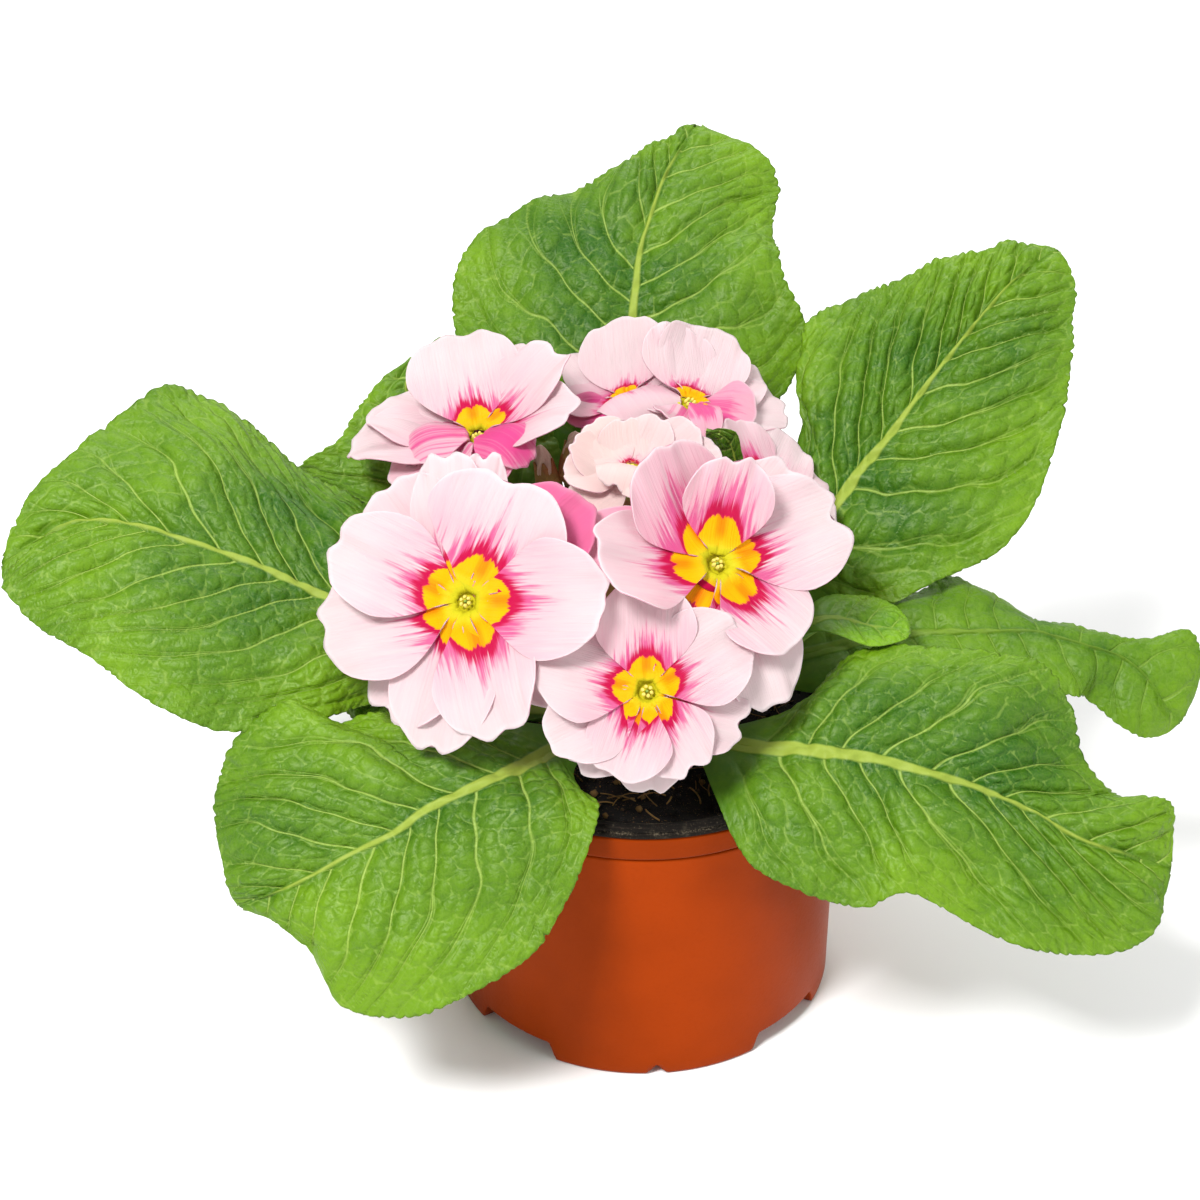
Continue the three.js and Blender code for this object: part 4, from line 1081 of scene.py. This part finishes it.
def leaf_surface(leaf, veins, rows, columns, rng):
    """The finished skin of a leaf: a grid of points, its thickness and normals, and its paint
    above, below and in the layer of veins.

    The smooth surface, moved along its normal, gets a rib in a valley, lateral veins that sink
    where the distance along the leaf, less a bend with the distance from the midrib, is a whole
    number of pitches, cushions that rise inside the cells between veins, and waves that grow with
    the cube of the distance from the midrib. The edge moves outwards in round teeth."""
    size = sizes()
    v = np.linspace(-1, 1, columns)[None, :]
    share = np.abs(v)
    base, reach, (middle, left, right), t = leaf_base(leaf, rows, v)
    normal = surface_normal(base)

    along = run_length(middle)[:, None] + 0 * v
    away = share * np.linalg.norm(reach, axis=2)
    blade_start = np.interp(1 + len(leaf["stalk"]), t, along[:, 0])
    whole = along[-1, 0]
    on_blade = smooth(blade_start - 2, blade_start + 12, along)
    toward_tip = np.clip((along - blade_start) / (whole - blade_start), 0, 1)

    pitch, lean_left, lean_right, pucker = veins
    relief = pitch / BASE_PITCH
    lean = np.where(v < 0, lean_left, lean_right)
    forward = lean * away * (0.8 + 0.4 * share**2)
    phase = (along - blade_start - forward) / pitch + np.where(v < 0, 0.45, 0)
    phase = phase + 0.12 * np.sin(1.7 * phase + rng.uniform(0, 6))
    phase = phase + waves(away, (37, 21, 9), (0.08, 0.06, 0.03), rng)
    off_lateral = np.abs(phase - np.round(phase)) * pitch
    width = (0.42 + 0.36 * (1 - share)) * (0.3 + 0.7 * relief)
    groove = bell(off_lateral, 2.4 * width) * smooth(1.06, 0.8, share) * on_blade

    gap = vein_gaps(phase, away, v, pitch, (lean_left, lean_right))
    cushion = smooth(0, 1, gap) * on_blade * smooth(1.0, 0.86, share)
    pleat = np.abs(np.sin(pi * phase)) ** 0.8 * on_blade
    pleat = pleat * smooth(0.04, 0.22, share) * smooth(0.95, 0.45, share)

    rib_half = (0.22 + 1.75 * (1 - toward_tip) ** 2.2) * min(1.0, leaf["width"] / 2.6)
    rib_half = rib_half * (1 - 0.95 * smooth(0.82, 0.97, toward_tip))
    rib = bell(away, 1.2 * rib_half)
    valley = bell(away, 3.2 * rib_half + 1.6 * relief) * on_blade * (1 - 0.5 * toward_tip)
    calm = smooth(1.0, 0.9, toward_tip)
    unequal = 0.75 + 0.25 * np.sin(0.31 * along + 0.4 * away)
    height = mm(size.cushion) * relief * pucker * cushion * unequal
    height = height - mm(size.vein_depth) * relief * (0.5 + 0.5 * pucker) * groove
    height = height + 0.5 * relief * pucker * pleat - 1.2 * relief * valley + 0.7 * relief * rib
    rumple = waves(along + 0.6 * away, (31, 19), (0.6, 0.35), rng)
    rumple = rumple + waves(away - 0.4 * along, (23, 14), (0.4, 0.25), rng)
    height = height + relief * rumple * on_blade * smooth(0.05, 0.5, share)
    for side, edge in ((v[0] < 0, left), (v[0] >= 0, right)):
        travel = run_length(edge)[:, None]
        ripple = waves(travel, (27, 16, 9), (0.9, 0.45, 0.15), rng) * mm(size.ruffle) * relief
        ripple = ripple * smooth(1.0, 0.8, toward_tip[:, side])
        tooth = edge_teeth(travel, relief, rng)
        near = share[:, side]
        rise = ripple * near**3 + 0.4 * relief * tooth * smooth(0.6, 1, near)
        height[:, side] += rise * on_blade[:, side]
        outward = unit(reach[:, side]) * (tooth * smooth(0.9, 1, near) * on_blade[:, side])[..., None]
        base[:, side] += outward * mm(size.tooth) * max(relief, 0.5) * calm[:, side, None]
    top = base + normal * (height * calm)[..., None]

    ridge = (3.3 * (1 - toward_tip) ** 1.6 + 0.5) * min(1.0, leaf["width"] / 2.4)
    depth = mm(size.blade) + ridge * bell(away, 1.35 * rib_half + 0.3) + 0.4 * relief * groove
    depth = depth * np.where(share > 0.97, 0.6, 1.0)
    edge_paint = (1 - (1 - smooth(0.35, 1.0, share)) * (1 - smooth(0.55, 1.0, toward_tip))) * on_blade
    gap_paint = np.clip(gap, 0, 1)
    above = np.stack([on_blade, rib_half / RIB_UNIT + 0 * away, edge_paint, gap_paint], -1)
    below = above - [0, 0, 0, 3]
    veining = np.stack([phase, away, share + 0 * away, pitch + 0 * away], -1)
    return top, depth, normal, above, below, veining


# ------------------------------------------------------------------ flowers

def flower_place(flower):
    """A function that takes points made about +Z, with the mouth at the origin, to the flower."""
    out = unit(np.array(flower["facing"], float))
    up = unit(UPHILL - UPHILL @ out * out)
    right = np.cross(up, out)
    turn = np.stack([right, up, out])
    return lambda points: np.asarray(points, float) @ turn + np.array(flower["at"], float)


def petal_surface(petal, rank, whole, cup, look, rows, columns, rng):
    """One petal about +Z: a grid of points, its normals, and the paint of its two sides.

    Its outline is a half ellipse on a strip that widens from a narrow claw, less a notch at the
    tip. It rises from the flower's plane by its lift, leans to one side so that neighbours
    overlap, bends at its tip and ripples along its edge. Folds stand round the mouth. An arched
    petal starts at a steeper angle of its own and droops at its sides."""
    azimuth, reach, width, lift = petal
    a = np.linspace(0, 1, rows)[:, None]
    b = np.sin(pi / 2 * np.linspace(-1, 1, columns))[None, :]
    scale = reach / BASE_PETAL
    notch = look.get("notched", {}).get(azimuth, rng.uniform(0.02, 0.06)) * reach
    shift = rng.uniform(-0.15, 0.15)
    outer = 1.03 * reach * (0.52 + 0.48 * np.sqrt(np.maximum(1 - b**2, 0)))
    outer = outer - notch * bell(b - shift, 0.20)
    outer = outer + waves(b, (1.3, 0.7, 0.45), (0.014, 0.012, 0.008), rng) * reach * (1 - b**2)
    run = TUBE_MOUTH + (outer - TUBE_MOUTH) * a
    x = run / reach
    widening = 0.04 + 0.96 * np.sin(pi / 2 * np.clip(x / 0.58, 0, 1)) ** 1.45
    side = 0.5 * width * widening * b
    start = look.get("arched", {}).get(azimuth)
    if start is None:
        slope = radians(lift) * (cup + (1 - cup) * x)
    else:
        slope = radians(start) + radians(lift - start) * x**2.5
    margin = smooth(0.45, 1.05, x) * (0.35 + 0.65 * np.abs(b))
    twist = look.get("twisted", {}).get(azimuth, rng.uniform(0.04, 0.10))
    height = twist * side * smooth(0.15, 0.6, x)
    height = height - PETAL_STEP * rank * smooth(0.06, 0.4, x) * scale**0.5
    height = height + scale * margin * waves(b, (1.15, 0.6, 0.36), (0.9, 0.55, 0.25), rng)
    height = height + rng.uniform(0.003, 0.020) * side**2 * smooth(0.25, 0.7, x)
    height = height - rng.uniform(0.3, 2.8) * scale * smooth(0.62, 1.1, x) ** 2
    height = height - 0.60 * scale * bell(side, 1.3) * smooth(0.3, 0.5, x) * smooth(1.05, 0.7, x)
    fold = bell(run - 3.4 * scale - 0.5, 1.5 * scale) * (1 - 0.85 * bell(side, 0.5))
    height = height + 0.8 * scale * fold - 0.5 * bell(run - TUBE_MOUTH, 0.8)
    if start is not None:
        height = height - 0.05 * side**2 * smooth(0.1, 0.5, x)
    flat = run * np.cos(slope) - height * np.sin(slope)
    rise = run * np.sin(slope) + height * np.cos(slope)
    angle = radians(azimuth)
    right = flat * cos(angle) - side * sin(angle)
    up = flat * sin(angle) + side * cos(angle)
    grid = np.stack([right, up, rise + 0 * side], -1)
    normal = -surface_normal(grid)
    tint = rng.uniform(0, 0.14) + look["flushed"].get(azimuth, 0) + look.get("tint", 0)
    distance = np.minimum(run / (whole * look.get("eye", 1)), 1.4)
    if azimuth in look.get("veiled", ()):
        distance = np.maximum(distance, VEIL)
    rim = np.maximum(smooth(0.955, 1, a) + 0 * b, smooth(0.975, 1, np.abs(b)) * smooth(0.4, 0.6, x))
    above = np.stack([0.5 + side / whole, distance, tint + 0 * x, rim], -1)
    below = above + [0, 2, 0, 0]
    return grid, normal, above, below


def corolla_shape(name, flower, rng):
    """All the petals of a flower, the tube that they grow from, and the collar at their foot."""
    place = flower_place(flower)
    look = FLOWER_LOOKS[name]
    shape = Shape()
    whole = np.mean([p[1] for p in flower["petals"]])
    rows, columns = LARGE_PETAL_GRID if whole > LARGE_FLOWER else SMALL_PETAL_GRID
    for rank, petal in enumerate(flower["petals"]):
        cup = flower.get("cup", CUP)
        grid, normal, above, below = petal_surface(petal, rank, whole, cup, look, rows, columns, rng)
        depth = np.full(grid.shape[:2], mm(sizes().petal))
        placed = place(grid)
        facing = place(grid + normal) - placed
        closed_sheet(shape, placed[:, ::-1], depth, facing[:, ::-1], above[:, ::-1], below[:, ::-1])
    revolve(shape, TUBE_PROFILE, 24, place, THROAT_PAINT)
    wide = COLLAR_SHARE * whole
    collar = (
        (0, -1.9), (1.4, -1.9), (2.6, -1.5), (wide, -1.5), (wide, -1.2), (2.8, -1.1), (1.5, -1.5),
        (0, -1.6))
    revolve(shape, collar, 32, place, [THROAT_PAINT] * 2 + [RING_PAINT] * 4 + [THROAT_PAINT] * 2)
    return shape


def pedicel_path(flower, fan, foot):
    """The middle line of a pedicel: a Bezier curve that rises from the crown and ends along the
    flower's own direction, at its foot."""
    out = unit(np.array(flower["facing"], float))
    start = turned(fan, CROWN_TOP - PEDICEL_DEPTH, radians(flower["from"]))
    end = flower["at"] + out * foot
    pull = 0.35 * np.linalg.norm(end - start)
    t = np.linspace(0, 1, PEDICEL_POINTS)
    return bezier(start, start + [0, 0, pull], end - out * pull, end, t)


def ribbed_cup(shape, place, foot, top, radius, opening):
    """Adds a calyx: a ribbed, five-toothed cup with a wall of its own. The tooth's height follows
    the cosine of two and a half turns, and `opening` is how far its mouth spreads."""
    angle = full_turn(80)
    t = np.linspace(0, 1, 24)[:, None]
    ridge = np.abs(np.cos(2.5 * angle))
    height = foot + (top - foot - 1.5 + 3.6 * ridge**1.4) * t
    belly = radius * (0.42 + 0.58 * smooth(0, 0.35, t)) * (1 + opening * smooth(0.4, 1, t))
    outer = belly * (1 + 0.10 * ridge**6 * smooth(0, 0.2, t))
    outside = turned(outer, height, angle)
    inside = turned(outer - CALYX_WALL, height, angle)[::-1]
    closed_rings(shape, np.concatenate([outside, inside]), [0, 0, foot], [0, 0, foot + 0.6], place=place)


# ------------------------------------------------------------------ pot

def pot_profile():
    """The pot's outline as rows of (radius, height): from the start of the drain channels out under
    the floor, up the wall, over the rim and down inside to the peat's foot."""
    near_holes = [(ring, 0) for ring in np.arange(25.5, 35, 0.5)]
    floor = [(CHANNEL_START, 0), (20, 0), *near_holes, (38, 0), (42, 0)]
    corner = [(42.7, 0), (43.1, 0.12), (43.4, 0.45), (43.5, 0.9), (43.51, 3), (43.52, 5), (43.56, 8)]
    wall = [(43.6, 14), (43.7, 24), (43.8, 34), (43.9, 44), (44.0, 52), (44.06, 57), (44.08, 59.3)]
    groove = [(44.02, 59.9), (43.6, 60.05), (43.55, 60.25), (43.7, 60.4)]
    collar = [
        (44.45, 60.5), (44.62, 60.8), (44.66, 61.2), (44.66, 63), (44.66, 65.2), (44.6, 65.7),
        (44.3, 65.85)]
    rim = [
        (44.28, 66.0), (44.75, 66.15), (45.0, 66.45), (45.0, 67.05), (44.9, 67.3), (44.6, 67.45),
        (44.55, 67.65), (44.75, 67.8), (44.8, 68.2), (44.7, 68.6), (44.4, 68.9), (44.0, 69.0),
        (43.4, 69.0), (43.0, 68.85), (42.8, 68.55), (42.65, 68.2), (42.5, 68.0), (42.3, 68.05),
        (42.1, 68.15), (41.8, 68.1)]
    inside = [(41.5, 67.8), (41.25, 67.2), (41.15, 66.5), (41.1, 65), (41.1, 62), (41.1, SOIL_FOOT)]
    return np.array([*floor, *corner, *wall, *groove, *collar, *rim, *inside])


# ------------------------------------------------------------------ operators

def quick_step(full):
    """The full number of points, unchanged: the place to ask for fewer while trying things out."""
    return full


class PRIMROSE_OT_leaves(Operator):
    """Adds the ten leaves with their petioles"""
    bl_idname = "primrose.leaves"
    bl_label = "Leaves"

    def execute(self, context):
        skin = leaf_material("leaf_skin")
        plain = leaf_material("plain_leaf_skin", 1.0, 0.28)
        fresh = leaf_material("fresh_leaf_skin", 1.3, 0.6)
        # A darker copy of the leaf skin: painted shade for leaf_small_left and leaf_young, which lie in
        # shade.
        young = leaf_material("shaded_leaf_skin", 0.7)
        own_skins = {
            "leaf_right": plain, "leaf_small_right": fresh, "leaf_small_left": young, "leaf_young": young}
        for number, (node, leaf) in enumerate(LEAVES.items()):
            rng = np.random.default_rng(100 + number)
            grid = SMALL_LEAF_GRID if node in SMALL_LEAVES else quick_step(LEAF_GRID)
            shape = Shape()
            closed_sheet(shape, *leaf_surface(leaf, VEINS[node], *grid, rng))
            shape.make("primrose_" + node, own_skins.get(node, skin), node, "leaf")
        return {"FINISHED"}


class PRIMROSE_OT_corollas(Operator):
    """Adds the eight corollas, petals and tube"""
    bl_idname = "primrose.corollas"
    bl_label = "Corollas"

    def execute(self, context):
        skin = petal_material("petal_skin")
        for number, (name, flower) in enumerate(FLOWERS.items()):
            shape = corolla_shape(name, flower, np.random.default_rng(200 + number))
            shape.make("primrose_corolla_" + name, skin, "corolla_" + name, "petal")
        return {"FINISHED"}


class PRIMROSE_OT_stamens(Operator):
    """Adds the ring of anthers and the stigma in each mouth"""
    bl_idname = "primrose.stamens"
    bl_label = "Stamens"

    def execute(self, context):
        skin = anther_material("pollen")
        for number, (name, flower) in enumerate(FLOWERS.items()):
            rng = np.random.default_rng(300 + number)
            place = flower_place(flower)
            shape = Shape()
            # An anther swells by a sine along its length, and so does the stigma.
            t = np.linspace(0, 1, 7)[:, None]
            girth = np.sin(pi * (0.08 + 0.84 * t[:, 0])) ** 0.6
            for turn in np.arange(ANTHERS) * 2 * pi / ANTHERS + rng.uniform(0, 1):
                foot = turned(1.05, -0.5, turn)
                head = turned(0.85, rng.uniform(0.5, 0.9), turn)
                rod(shape, place(foot + (head - foot) * t), ANTHER_RADIUS * girth, 8)
            path = place([0, 0, -1] + np.array([0, 0, 1.5]) * t)
            rod(shape, path, STIGMA_RADIUS * np.sin(pi * (0.1 + 0.8 * t[:, 0])) ** 0.6, 8, (1, 0, 0, 0))
            shape.make("primrose_stamens_" + name, skin, "stamens_" + name, "anther")
        return {"FINISHED"}


class PRIMROSE_OT_calyces(Operator):
    """Adds the ribbed, five-toothed calyx of each flower"""
    bl_idname = "primrose.calyces"
    bl_label = "Calyces"

    def execute(self, context):
        skin = plain_plant_material("calyx_skin", colours().calyx, CALYX_BLUSH)
        for name, flower in FLOWERS.items():
            shape = Shape()
            ribbed_cup(shape, flower_place(flower), CALYX_FOOT, CALYX_TOP, CALYX_RADIUS, -0.04)
            shape.make("primrose_calyx_" + name, skin, "calyx_" + name, "calyx")
        return {"FINISHED"}


class PRIMROSE_OT_stalks(Operator):
    """Adds the hairy pedicels from the crown to the flowers and buds"""
    bl_idname = "primrose.stalks"
    bl_label = "Pedicels"

    def execute(self, context):
        skin = plain_plant_material("stalk_skin", colours().stalk, STALK_BLUSH)
        swell = 1 + 0.12 * bell(np.linspace(-1, 0, PEDICEL_POINTS), 0.08)
        of_flower = PEDICEL_FAN, CALYX_FOOT, PEDICEL_RADIUS, 14
        of_bud = BUD_PEDICEL_FAN, BUD_FOOT, BUD_PEDICEL_RADIUS, 12
        pedicels = [(name, flower, of_flower) for name, flower in FLOWERS.items()]
        pedicels += [("bud_" + name, bud, of_bud) for name, bud in BUDS.items()]
        for name, flower, (fan, foot, radius, sides) in pedicels:
            shape = Shape()
            rod(shape, pedicel_path(flower, fan, foot + PEDICEL_SINK), radius * swell, sides)
            shape.make("primrose_stalk_" + name, skin, "stalk_" + name, "stalk")
        return {"FINISHED"}


class PRIMROSE_OT_buds(Operator):
    """Adds the closed buds: a calyx round furled petals, which turn about each other to a tip"""
    bl_idname = "primrose.buds"
    bl_label = "Buds"

    def execute(self, context):
        skin = plain_plant_material("bud_skin", *BUD_SKIN)
        for name, bud in BUDS.items():
            place = flower_place(bud)
            shape = Shape()
            ribbed_cup(shape, place, BUD_FOOT, 0, BUD_RADIUS * 0.95, -0.22)
            # The furled petals are a spindle with five ridges that turn as they rise.
            angle = full_turn(40)
            t = np.linspace(0, 1, 18)[:, None]
            height = (BUD_TIP + 2.2) * t - BUD_HIDDEN
            furl = 1 + 0.13 * np.cos(5 * (angle - 1.6 * t))
            radius = (BUD_RADIUS * 0.72) * np.sqrt(np.maximum(1 - t**2.2, 0.004)) * furl
            foot, head = [0, 0, -BUD_HIDDEN], [0, 0, height[-1, 0] + 0.1]
            closed_rings(shape, turned(radius, height, angle), foot, head, BUD_PAINT, place)
            shape.make("primrose_bud_" + name, skin, "bud_" + name, "calyx")
        return {"FINISHED"}


class PRIMROSE_OT_crown(Operator):
    """Adds the crown, wrapped in the bases of old leaves"""
    bl_idname = "primrose.crown"
    bl_label = "Crown"

    def execute(self, context):
        skin = plain_plant_material("crown_skin", *CROWN_SKIN, 0.75)
        rng = np.random.default_rng(7)
        shape = Shape()
        revolve(shape, CROWN_PROFILE, 48)
        # The base of an old leaf is a rod that bulges outwards by a sine and thins towards its top.
        t = np.linspace(0, 1, 9)
        for turn in full_turn(OLD_LEAVES):
            azimuth = turn + rng.uniform(-0.1, 0.1)
            path = turned(7.4 + 1.3 * np.sin(pi * t), OLD_LEAF_FOOT + OLD_LEAF_LENGTH * t, azimuth)
            rod(shape, path, 1.3 * (1 - 0.8 * t**2), 8)
        shape.make("primrose_crown", skin, "crown", "crown")
        return {"FINISHED"}


class PRIMROSE_OT_soil(Operator):
    """Adds the peat: a crumbly top on a plug, loose crumbs and fibres"""
    bl_idname = "primrose.soil"
    bl_label = "Peat"

    def execute(self, context):
        rng = np.random.default_rng(11)
        radius = SOIL_RADIUS * np.sqrt(np.linspace(0, 1, SOIL_RINGS + 1))[1:, None]
        angle = full_turn(SOIL_SIDES)
        x, y = radius * np.cos(angle), radius * np.sin(angle)
        lumps = rng.uniform(-SOIL_RADIUS, SOIL_RADIUS, (LUMPS, 2))
        spread = rng.uniform(0.7, 2.4, LUMPS)
        tall = rng.uniform(0.2, 0.9, LUMPS) * spread / 2
        # The top is a low dome, and each point of it rises by the highest of the lumps' bells there.
        height = np.zeros(x.size)
        for start in range(0, x.size, BATCH):
            part = slice(start, start + BATCH)
            far = (x.ravel()[part, None] - lumps[:, 0]) ** 2 + (y.ravel()[part, None] - lumps[:, 1]) ** 2
            height[part] = (tall * np.exp(-far / spread**2)).max(1)
        z = SOIL_TOP + 0.6 - (radius / SOIL_RADIUS) ** 2 + height.reshape(x.shape)
        z[-1] = SOIL_TOP - 0.3
        top = turned(radius, z, angle)
        foot = turned(0.99 * radius[-1:], SOIL_FOOT, angle)
        ends = [0, 0, z[0].mean()], [0, 0, SOIL_FOOT]
        shape = Shape()
        closed_rings(shape, np.concatenate([top, foot]), *ends, flip=True)
        self.crumbs(shape, rng)
        self.fibres(shape, rng)
        shape.make("primrose_peat", peat_material("peat"), "soil", "peat")
        return {"FINISHED"}

    @staticmethod
    def crumbs(shape, rng):
        """Loose crumbs: lumps of three rings and two ends, each knocked out of shape."""
        profile = np.array(CRUMB_PROFILE)
        for _ in range(CRUMBS):
            distance, turn = SOIL_RADIUS * rng.uniform(0.06, 0.96) ** 0.5, rng.uniform(0, 2 * pi)
            size = rng.uniform(0.25, 0.95)
            at = turned(distance, SOIL_TOP + 0.9 + 0.4 * size, turn)
            rings = turned(profile[:, :1], profile[:, 1:], full_turn(CRUMB_SIDES))
            rings = rings * rng.uniform(0.7, 1.25, rings.shape)
            paint = (rng.choice([0.0, 0.0, 0.0, 0.15, 0.6]), 0, 0, 0)
            foot, head = at + [0, 0, -0.8 * size], at + [0, 0, 0.95 * size]
            closed_rings(shape, at + size * rings, foot, head, paint)

    @staticmethod
    def fibres(shape, rng):
        """Fine fibres and roots that lie on the peat in short curves."""
        t = np.linspace(0, 1, 8)
        for _ in range(FIBRES):
            distance, turn = SOIL_RADIUS * rng.uniform(0.05, 0.9) ** 0.5, rng.uniform(0, 2 * pi)
            reach, heading, bend = rng.uniform(2.5, 9), rng.uniform(0, 2 * pi), rng.uniform(-1.5, 1.5)
            way = heading + bend * t
            x = distance * cos(turn) + reach * np.cumsum(np.cos(way)) / len(t)
            y = distance * sin(turn) + reach * np.cumsum(np.sin(way)) / len(t)
            z = SOIL_TOP + 1.4 + 1.2 * np.sin(pi * t) * rng.uniform(0, 1)
            if np.hypot(x, y).max() < SOIL_RADIUS - 0.5:
                path = np.stack([x, y, z], -1)
                rod(shape, path, rng.uniform(0.09, 0.2), 5, (rng.uniform(0.5, 1), 0, 0, 0))


class PRIMROSE_OT_pot(Operator):
    """Adds the two-layer plastic pot with its rim, collar, feet and arches"""
    bl_idname = "primrose.pot"
    bl_label = "Pot"

    def execute(self, context):
        # The profile is turned about the axis. Its low points rise to the arch, which fades out under
        # the floor as a drain channel, or to the notch in the middle of a foot.
        profile = pot_profile()
        radius, level = profile[:, :1], profile[:, 1:]
        angle = full_turn(POT_SIDES)
        sector = 2 * pi / ARCH_COUNT
        from_arch = (angle - FIRST_ARCH + sector / 2) % sector - sector / 2
        half = ARCH_SPAN / 2
        arch = ARCH_HEIGHT * smooth(half * 1.02, half * 0.80, np.abs(from_arch))
        from_foot = np.abs(np.abs(from_arch) - sector / 2) * RIM_RADIUS
        notch = NOTCH_HEIGHT * np.clip(1 - from_foot / (NOTCH_WIDTH / 2), 0, 1)
        from_hole = np.hypot(radius * np.cos(from_arch) - DRAIN_HOLE_AT, radius * np.sin(from_arch))
        hole = smooth(DRAIN_HOLE_RADIUS + 0.2, DRAIN_HOLE_RADIUS - 0.2, from_hole) * (level < 0.05)
        channel = arch * smooth(CHANNEL_START, CHANNEL_FULL, radius)
        floor = np.maximum(channel, notch * (radius > 41.5))
        z = np.maximum(level, np.where(level < 6, floor, 0)) + DRAIN_HOLE_DEPTH * hole

        inside = (radius < 42) & (level > 50)
        black = np.maximum(hole, inside | (level > RIM_FOOT))
        # The collar under the rim is marked for its painted shadow.
        collar = smooth(59.5, 60.4, level)
        trough = bell(radius - 42.4, 0.45) * (level > RIM_FOOT)
        grooves = np.maximum(trough, 0.7 * bell(level - 67.6, 0.35))
        paint = np.stack(np.broadcast_arrays(black, collar, grooves, 0), -1).reshape(-1, 4)
        paint = np.concatenate([paint, [(0, 0, 0, 0), (1, 0, 0, 0)]])
        shape = Shape()
        closed_rings(shape, turned(radius, z, angle), [0, 0, 0], [0, 0, SOIL_FOOT], paint)
        shape.make("primrose_pot", pot_material("pot_plastic"), "pot", "pot_plastic")
        return {"FINISHED"}


class PRIMROSE_OT_stage(Operator):
    """Adds the floor, the soft studio light and the camera"""
    bl_idname = "primrose.stage"
    bl_label = "Stage"

    def execute(self, context):
        scene = context.scene
        tone = (*colours().floor, 1.0)
        sockets = {"Base Color": tone, "Roughness": 0.9, "Specular IOR Level": 0.1}
        mesh = bpy.data.meshes.new("floor")
        turns = ((-1, -1), (1, -1), (1, 1), (-1, 1))
        corners = [(x * FLOOR_HALF, y * FLOOR_HALF, 0) for x, y in turns]
        mesh.from_pydata(corners, [], [(0, 1, 2, 3)])
        mesh.materials.append(Painter("floor_paint").finish(sockets))
        floor = bpy.data.objects.new("floor", mesh)
        scene.collection.objects.link(floor)

        world = bpy.data.worlds.new("studio")
        world.use_nodes = True
        background = world.node_tree.nodes["Background"]
        background.inputs["Color"].default_value = (1, 1, 1, 1)
        background.inputs["Strength"].default_value = WORLD_STRENGTH
        scene.world = world
        for lamp in LAMPS:
            self.lamp(scene, *lamp)
        camera = bpy.data.cameras.new("camera")
        camera.sensor_width = 36
        camera.lens = CAMERA_LENS
        camera.clip_start = 0.01
        seen = bpy.data.objects.new("camera", camera)
        seen.location = [c * MM for c in CAMERA_AT]
        seen.rotation_euler = (pi / 2 - CAMERA_DOWN, 0, 0)
        scene.collection.objects.link(seen)
        scene.camera = seen
        scene.view_settings.view_transform = "Standard"
        return {"FINISHED"}

    @staticmethod
    def lamp(scene, name, at, power, size):
        """A square soft box that faces LAMP_TARGET."""
        light = bpy.data.lights.new(name, "AREA")
        light.energy = power
        light.size = size
        lamp = bpy.data.objects.new(name, light)
        lamp.location = at
        toward = np.array(LAMP_TARGET) - np.array(at)
        flat = np.hypot(toward[0], toward[1])
        lamp.rotation_euler = (np.arctan2(flat, -toward[2]), 0, np.arctan2(toward[1], toward[0]) - pi / 2)
        scene.collection.objects.link(lamp)


OPERATORS = (
    PRIMROSE_OT_stage, PRIMROSE_OT_pot, PRIMROSE_OT_soil, PRIMROSE_OT_crown, PRIMROSE_OT_leaves,
    PRIMROSE_OT_stalks, PRIMROSE_OT_buds, PRIMROSE_OT_calyces, PRIMROSE_OT_corollas, PRIMROSE_OT_stamens,
)


class PRIMROSE_PT_panel(Panel):
    """The sidebar panel that lists the pieces, sizes and colours"""
    bl_idname = "PRIMROSE_PT_panel"
    bl_label = "Primrose"
    bl_space_type = "VIEW_3D"
    bl_region_type = "UI"
    bl_category = "Primrose"

    def draw(self, context):
        column = self.layout.column(align=True)
        for operator in OPERATORS:
            column.operator(operator.bl_idname)
        for group in (context.scene.primrose_sizes, context.scene.primrose_colours):
            column = self.layout.column()
            for name in group.__annotations__:
                column.prop(group, name)


CLASSES = (PrimroseSizes, PrimroseColours, *OPERATORS, PRIMROSE_PT_panel)


def register():
    for cls in CLASSES:
        bpy.utils.register_class(cls)
    bpy.types.Scene.primrose_sizes = PointerProperty(type=PrimroseSizes)
    bpy.types.Scene.primrose_colours = PointerProperty(type=PrimroseColours)


def unregister():
    del bpy.types.Scene.primrose_colours
    del bpy.types.Scene.primrose_sizes
    for cls in reversed(CLASSES):
        bpy.utils.unregister_class(cls)


def main():
    register()
    for operator in OPERATORS:
        group, name = operator.bl_idname.split(".")
        getattr(getattr(bpy.ops, group), name)()


if __name__ == "__main__":
    main()
